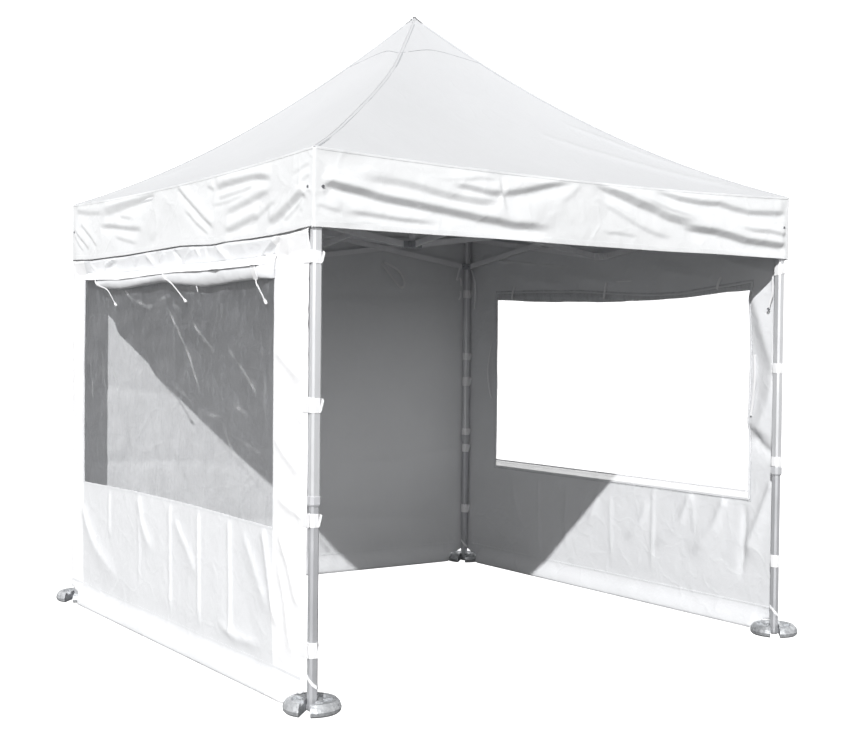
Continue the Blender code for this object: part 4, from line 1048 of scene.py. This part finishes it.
def cover_roll(side, top, low_points):
    """A rolled cover as rings along the wall: a spiral in section, lumpy along it, pinched at both ends."""
    along = np.arange(low_points[0][0], low_points[-1][0] + 1e-6, ROLL_STEP)
    low = np.pad(np.interp(along, *zip(*low_points)), 5, mode="edge")
    low = np.convolve(low, np.ones(11) / 11, mode="valid")[:, None]
    a, angle = along[:, None], np.linspace(0.0, 2 * math.pi, ROLL_SECTION, endpoint=False)
    # The outermost layer ends at the bottom, and stands a little proud of the layer below it
    wound = 0.94 + 0.06 * ((angle + 1.9) % (2 * math.pi)) / (2 * math.pi)
    reach = wound * (1 + 0.05 * lumps(a, angle * 0.05, 0.07, 95) + 0.03 * np.sin(angle * 3 + a * 9))
    plump = 0.08 + 0.92 * smooth_step(np.minimum(a - along[0], along[-1] - a) / 0.11)
    out = WALL_PLANE + 0.004 + ROLL_DEPTH * plump * (1 + reach * np.cos(angle))
    z = low + (top - low) / 2 * (1 + reach * np.sin(angle))
    rings = np.stack(np.broadcast_arrays(OUTWARD[side][0] * out, a, z), -1)
    ends = []
    for ring, step in ((rings[0], 1), (rings[-1], -1)):
        middle = ring.mean(axis=0)
        for scale, dip in ((0.8, 0.003), (0.3, 0.008)):
            ends.append((ring - middle) * scale + middle + (0.0, step * dip, 0.0))
    return swept([ends[1], ends[0], *rings, ends[2], ends[3]])


for side, (top, low_points) in ROLLS.items():
    rolled = cover_roll(side, top, low_points)
    roll = make(f"{side}_rolled_cover", [rolled], wall_polyester, 50.0)
    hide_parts(f"{side}_window_cover_roll")

# Wall seams
# A narrow tape of the walls' own cloth closes the hem along each wall's ground seam, inside and out.
# It is sewn down with white polyester thread, which shows as a line of dashes.
# Each wall's width as cut, its area without the opening of 2.9 square metres, and the legs that carry it
WALL_CUTS = {
    "left": (2.95, 4.10, ["outer_leg_front_left", "outer_leg_back_left"]),
    "right": (2.93, 4.20, ["outer_leg_front_right", "outer_leg_back_right"]),
    "back": (2.98, 7.00, ["outer_leg_back_left", "outer_leg_back_right"]),
}
# Where the seam starts at the front of the side walls and on the back wall, and where it ends
SEAM_START = {"left": -1.415, "right": -1.415, "back": -1.4715}
SEAM_END = 1.4715
for side in WALL_CUTS:
    line = straight((SEAM_START[side], GROUND_SEAM_Z), (SEAM_END, GROUND_SEAM_Z), 220)
    seam_parts = []
    # On the left the outer side shows no seam
    for way in (-1,) if side == "left" else (1, -1):
        face = face_of(wall_place, side, way)
        seam_parts.append(strip_on(face, line, 0.006, 0.0022))
        thread_parts.append(stitches(face, line, lift=0.0034))
    make(f"{side}_wall_hem", seam_parts, wall_polyester)

# Twisted polyester thread, with its two plies as a fine bump
thread_white, tree = new_finish("white_thread")
ply = add(tree, "TexNoise", {"Scale": 700.0, "Detail": 1.0})
twist = add(tree, "Bump", {"Strength": 0.3, "Distance": 0.0002, "Height": ply})
coat(thread_white, {"Roughness": 0.55, "Base Color": linear("#D9DADC"), "Normal": twist})
make("wall_stitches", thread_parts, thread_white)

# Straps
# White polypropylene webbing, 55 mm wide on the legs: each wall has a strap at four heights that goes
# round the leg and closes on itself with hook-and-loop tape. A narrower one goes round the foot.
LEG_CUT = 0.012
STRAP_THICKNESS = 0.0024
COLLAR_Z = 0.93
# Between these each strap is sewn on a side wall's front edge
PATCH_FRONT_Y, PATCH_BACK_Y = -1.478, -1.418
# Lowest and highest edge of each leg's straps, and how much each drops from left to right, in metres
BACK_STRAPS = ((1.941, 2.0, 0.003), (1.484, 1.536, 0.001), (1.293, 1.359, -0.002), (0.932, 0.98, 0.001),
    (0.805, 0.864, 0.002), (0.357, 0.417, 0.001))
LEG_STRAPS = {
    "front_left": ((1.926, 1.981, 0.006), (1.285, 1.35, 0.002), (0.793, 0.853, 0.001), (0.229, 0.298, 0.0)),
    "front_right": ((1.995, 2.05, -0.012), (1.45, 1.504, 0.001), (0.932, 0.986, 0.001),
        (0.372, 0.44, 0.001)),
    "back_right": BACK_STRAPS,
    "back_left": (*BACK_STRAPS, (0.215, 0.262, 0.0)),
}


def strap_ring(right, back, low, high, drop, half, bulge=0.001):
    """One strap round a leg: the leg's outline with its edges cut off, in the webbing's thickness."""
    inner, outer = half + 0.0006, half + 0.0006 + STRAP_THICKNESS
    edges = ((inner, low), (outer, low + 0.001), (outer + bulge, (low + high) / 2),
             (outer, high - 0.001), (inner, high))
    centre_x, centre_y = right * LEG_AXIS, back * LEG_AXIS
    rings = []
    for reach, height in edges:
        flat = reach - LEG_CUT - 0.4 * (reach - half)
        outline = ((reach, -flat), (reach, flat), (flat, reach), (-flat, reach),
                   (-reach, flat), (-reach, -flat), (-flat, -reach), (flat, -reach))
        rings.append([(centre_x + x, centre_y + y, height - drop * (x - y) / 0.06) for x, y in outline])
    return swept(np.array(rings).transpose(1, 0, 2), closed=True)


def webbing(name, code):
    """Woven polypropylene tape: ribs 2 mm apart across it, real pitch, and a slight sheen."""
    made, tree = new_finish(name)
    place = add(tree, "TexCoord", {}, "Object")
    ribs = add(tree, "TexWave", {"Vector": place, "Scale": 80.0, "Distortion": 0.4}, 1, bands_direction="Z")
    fuzz = add(tree, "TexNoise", {"Vector": place, "Scale": 240.0, "Detail": 2.0})
    both = add(tree, "Math", {0: ribs, 1: fuzz}, operation="ADD")
    tone = add(tree, "MapRange", {0: both, 1: 0.3, 2: 1.4, 3: 0.9, 4: 1.0})
    return coat(made, {
        "Roughness": 0.5,
        "IOR": 1.49,
        "Base Color": add(tree, "Mix", {0: tone, 6: linear("#8F9093"), 7: linear(code)}, 2, data_type="RGBA"),
        "Normal": add(tree, "Bump", {"Strength": 0.3, "Distance": 0.0004, "Height": both}),
    })


def ribbon(points, facing, half, thick=0.0015):
    """A flat tape along a line of points, whose face looks towards facing."""
    along = unit(np.gradient(points, axis=0))
    across = unit(np.cross(along, facing))
    section = ((-1, -1), (-1, 1), (1, 1), (1, -1))
    return extruded(points, across * half, np.cross(across, along) * thick / 2, section)


def smooth_line(points, steps):
    """A smooth curve through a few points, at even shares of their numbering."""
    points = np.asarray(points, float)
    padded = np.concatenate([[2 * points[0] - points[1]], points, [2 * points[-1] - points[-2]]])
    share = np.linspace(0.0, len(points) - 1 - 1e-9, steps)
    k = share.astype(int)
    t = (share - k)[:, None]
    before, start, end, beyond = (padded[k + j] for j in range(4))
    curve = 2 * start + (end - before) * t
    curve += (2 * before - 5 * start + 4 * end - beyond) * t**2
    curve += (3 * start - 3 * end + beyond - before) * t**3
    return curve / 2


white_webbing = webbing("white_webbing", "#F2F2F3")
strap_parts = []
for corner, (right, back) in CORNERS.items():
    edge = face_of(wall_place, "right" if right > 0 else "left")
    for low, high, drop in LEG_STRAPS[corner]:
        middle = (low + high) / 2
        half = OUTER_LEG_HALF if low > COLLAR_Z else INNER_LEG_HALF
        strap_parts.append(strap_ring(right, back, low, high, drop, half))
        # The narrowing end that is left over after the strap is closed
        start = np.array((right * LEG_AXIS + half - 0.008, back * LEG_AXIS - half - 0.0034, middle))
        free_end = [start, start + (0.006, -0.0006, -0.001), start + (0.0100, -0.0012, -0.002)]
        narrowing = (high - low) * np.interp(np.linspace(0, 1, 8), (0.0, 0.55, 1.0), (0.48, 0.46, 0.34))
        strap_parts.append(ribbon(smooth_line(free_end, 8), (0, -1, 0), narrowing[:, None]))
        if back < 0:
            # Where the strap is sewn to the wall's front edge
            patch = straight((PATCH_FRONT_Y, middle), (PATCH_BACK_Y, middle), 8)
            strap_parts.append(strip_on(edge, patch, (high - low) / 2, 0.0030))
    strap_parts.append(strap_ring(right, back, 0.118, 0.136, 0.045, INNER_LEG_HALF, 0.0006))
make("leg_straps", strap_parts, white_webbing)

# Ties and loops
# White tapes 8 to 12 mm wide: three hold each roll, and those of the left roll hang down with a toggle on
# # their end; others hang loose beside the windows and at the leg tops, sewn to the wall at their upper end.
TOGGLE_RADIUS, TOGGLE_LENGTH = 0.0075, 0.024
# Bands over the left roll: half width, then points as distance along the wall, height and distance out
BANDS = {
    "left_band_back": (0.0075, ((1.0, 1.958, 0.04), (0.961, 1.938, 0.057), (0.925, 1.912, 0.055))),
    "left_band_middle": (0.0085, ((0.01, 1.96, 0.04), (-0.02, 1.938, 0.058), (-0.06, 1.908, 0.056))),
    "left_band_front": (0.019, ((-1.034, 1.957, 0.038), (-1.038, 1.936, 0.051), (-1.043, 1.904, 0.05),
        (-1.044, 1.87, 0.038))),
}
# Side, half width, whether it ends in a toggle, and the route's points in the same way
TIES = {
    "left_tie_back": ("left", 0.0034, True, ((0.925, 1.913, 0.056), (0.88, 1.902, 0.052),
        (0.801, 1.878, 0.04), (0.744, 1.805, 0.02))),
    "left_tie_middle": ("left", 0.0036, True, ((-0.06, 1.91, 0.057), (-0.1, 1.895, 0.055),
        (-0.137, 1.872, 0.047), (-0.206, 1.803, 0.02))),
    "left_tie_front": ("left", 0.0048, True, ((-1.044, 1.872, 0.039), (-1.05, 1.85, 0.038),
        (-1.062, 1.834, 0.034), (-1.09, 1.778, 0.018))),
    "left_tag": ("left", 0.0035, False, ((-0.415, 1.862, 0.046), (-0.418, 1.85, 0.044),
        (-0.42, 1.832, 0.04))),
    "right_tie_back": ("right", 0.0085, False, ((0.93, 2.012, -0.006), (0.945, 1.97, -0.012),
        (0.96, 1.922, -0.007))),
    "right_tie_middle": ("right", 0.0085, False, ((-0.04, 2.002, -0.006), (-0.025, 1.95, -0.012),
        (-0.01, 1.9, -0.007))),
    "right_tie_front": ("right", 0.0085, False, ((-1.02, 2.002, -0.006), (-1.005, 1.966, -0.012),
        (-0.99, 1.93, -0.007))),
    "right_side_tape_back": ("right", 0.0062, False, ((1.195, 1.606, -0.007), (1.21, 1.5, -0.015),
        (1.222, 1.4, -0.02), (1.205, 1.28, -0.018), (1.18, 1.21, -0.012))),
    "right_side_tape_front": ("right", 0.0062, False, ((-1.282, 1.552, -0.007), (-1.296, 1.46, -0.016),
        (-1.3, 1.37, -0.02), (-1.29, 1.28, -0.016), (-1.278, 1.205, -0.012))),
    "right_leg_tape": ("right", 0.0065, False, ((-1.405, 2.02, -0.01), (-1.42, 1.95, -0.024),
        (-1.425, 1.89, -0.028), (-1.412, 1.85, -0.026), (-1.4, 1.812, -0.022))),
}
# Tapes at the back: facing, half width, steps, far end, then points as x, distance in from the wall, z
BACK_TAPES = {
    "back_wall_loop": ((0.25, -1, 0.2), 0.009, 50, "knot", (
        (0.735, 0.0, 2.165), (0.790, 0.012, 2.095), (0.850, 0.016, 2.030), (0.885, 0.016, 2.002),
        (0.915, 0.016, 2.012), (0.912, 0.014, 2.060), (0.860, 0.012, 2.125), (0.755, 0.0, 2.176))),
    "leg_top_tape_upper": ((-0.6, -1, 0), 0.005, 24, "bare", (
        (1.395, 0.03, 2.165), (1.370, 0.04, 2.110), (1.362, 0.04, 2.070), (1.395, 0.035, 2.085),
        (1.408, 0.03, 2.030))),
    "leg_top_tape_lower": ((-0.6, -1, 0), 0.005, 24, "bare", (
        (1.400, 0.03, 1.990), (1.396, 0.04, 1.955), (1.380, 0.04, 1.925))),
    "leg_top_tape_side": ((-0.6, -1, 0), 0.005, 24, "bare", (
        (1.478, 0.058, 2.150), (1.482, 0.093, 2.080), (1.482, 0.103, 2.000), (1.482, 0.100, 1.930),
        (1.482, 0.096, 1.860))),
}
toggle_nylon = moulded_nylon("white_toggle_nylon", "#F4F4F5", 0.35)


def hang(name, line, facing, half, far_end):
    """A tape along a line from its first point, with a moulded toggle on its far end where far_end is a
    fitting.
    """
    tape = make(name, [ribbon(line, facing, half)], white_webbing)
    ends = []
    if far_end == "fitting":
        # A moulded barrel, rounded at both ends
        shape = ((0.0, 0.45), (0.08, 0.8), (0.25, 1.0), (0.75, 1.0), (0.92, 0.8), (1.0, 0.45))
        profile = [(TOGGLE_LENGTH * far, TOGGLE_RADIUS * wide) for far, wide in shape]
        barrel = turned(line[-1], line[-1] - line[-2], profile, 14)
        ends = [make(f"{name}_toggle", [barrel], toggle_nylon)]


for name, (half, stops) in BANDS.items():
    line = smooth_line([wall_place("left", *stop) for stop in stops], 18)
    make(name, [ribbon(line, OUTWARD["left"], half, 0.0022)], white_webbing)
for name, (side, half, has_toggle, stops) in TIES.items():
    line = smooth_line([wall_place(side, *stop) for stop in stops], 30)
    facing = Vector(OUTWARD[side]) * (1 if stops[-1][2] > 0 else -1)
    hang(name, line, facing, half, "fitting" if has_toggle else "bare")
for name, (facing, half, steps, far_end, stops) in BACK_TAPES.items():
    line = smooth_line([(x, WALL_PLANE - 0.010 - inward, z) for x, inward, z in stops], steps)
    hang(name, line, facing, half, far_end)
tape_end = wall_place("right", -1.400, 1.806, -0.023)
make("tape_eyelet", [ring_at(tape_end, (-1, -0.5, 0), 0.0065, 0.0030)], eyelet_brass)

# Leg weights
# Cast iron discs with a slot for the leg, ribbed above a hollow, hot-dip galvanised: a mottled dull
# # zinc grey.


def galvanised(name):
    """Zinc on cast iron: spangle patches 8 to 20 mm across over a sand-cast grain of about 1 mm."""
    made, tree = new_finish(name)
    place = add(tree, "TexCoord", {}, "Object")
    spangle = add(tree, "TexVoronoi", {"Vector": place, "Scale": 70.0, "Randomness": 1.0}, "Color")
    patch = add(tree, "TexNoise", {"Vector": place, "Scale": 26.0, "Detail": 4.0}, "Color")
    grey = add(tree, "RGBToBW", {0: add(tree, "Mix", {0: 0.55, 6: spangle, 7: patch}, 2, data_type="RGBA")})
    ramp = add(tree, "MapRange", {0: grey, 1: 0.3, 2: 0.7, 3: 0.0, 4: 1.0})
    sand = add(tree, "TexNoise", {"Vector": place, "Scale": 420.0, "Detail": 3.0})
    zinc = add(tree, "Mix", {0: ramp, 6: linear("#A6A8AB"), 7: linear("#D2D4D6")}, 2, data_type="RGBA")
    return coat(made, {
        "Metallic": 0.75,
        "Base Color": zinc,
        "Roughness": add(tree, "MapRange", {0: grey, 1: 0.3, 2: 0.7, 3: 0.62, 4: 0.46}),
        "Normal": add(tree, "Bump", {"Strength": 0.5, "Distance": 0.0012, "Height": sand}),
    })


dress([f"leg_weight_{corner}" for corner in CORNERS], galvanised("galvanised_casting"), True)

# Light, floor and surroundings
# One large key lamp on the front left, a pale surround that is brightest low down, and a plain pale floor.
KEY_TRAVEL = Vector((1.12, 1.05, -1.0))
FLOOR_HALF = 120.0
key_light = bpy.data.lights.new("key", "SUN")
key_light.energy = 4.05
key_light.angle = math.radians(0.7)
key = bpy.data.objects.new("key", key_light)
key.rotation_euler = KEY_TRAVEL.to_track_quat("-Z", "Y").to_euler()
bpy.context.scene.collection.objects.link(key)

surround = bpy.data.worlds.new("pale_surround")
surround.use_nodes = True
bpy.context.scene.world = surround
tree = surround.node_tree
upward = add(tree, "SeparateXYZ", {0: add(tree, "TexCoord", {}, "Generated")}, 2)
sky = add(tree, "MapRange", {0: upward, 1: 0.30, 2: 0.62, 3: 0.90, 4: 0.28})
soft_level = add(tree, "Mix", {0: add(tree, "LightPath", {}, "Is Glossy Ray"), 2: sky, 3: 1.05})
level = add(tree, "Mix", {0: add(tree, "LightPath", {}, "Is Camera Ray"), 2: soft_level, 3: 1.6})
plug(tree, tree.nodes["Background"], {"Strength": level, "Color": (1.0, 1.0, 1.0, 1.0)})

# Matt paint, which the lens sees lit up so that the floor runs into the pale surround
floor_paint, tree = new_finish("pale_floor")
own = add(tree, "Math", {0: add(tree, "LightPath", {}, "Is Camera Ray"), 1: 1.35}, operation="MULTIPLY")
coat(floor_paint, {
    "Roughness": 0.9,
    "Base Color": linear("#626262"),
    "Emission Color": (1.0, 1.0, 1.0, 1.0),
    "Emission Strength": own,
})
floor_mesh = bpy.data.meshes.new("floor")
floor_corners = [(FLOOR_HALF * x, FLOOR_HALF * y, 0.0) for x, y in ((-1, -1), (1, -1), (1, 1), (-1, 1))]
floor_mesh.from_pydata(floor_corners, [], [(0, 1, 2, 3)])
floor_mesh.materials.append(floor_paint)
floor = bpy.data.objects.new("floor", floor_mesh)
bpy.context.scene.collection.objects.link(floor)
bpy.context.scene.view_settings.view_transform = "Standard"
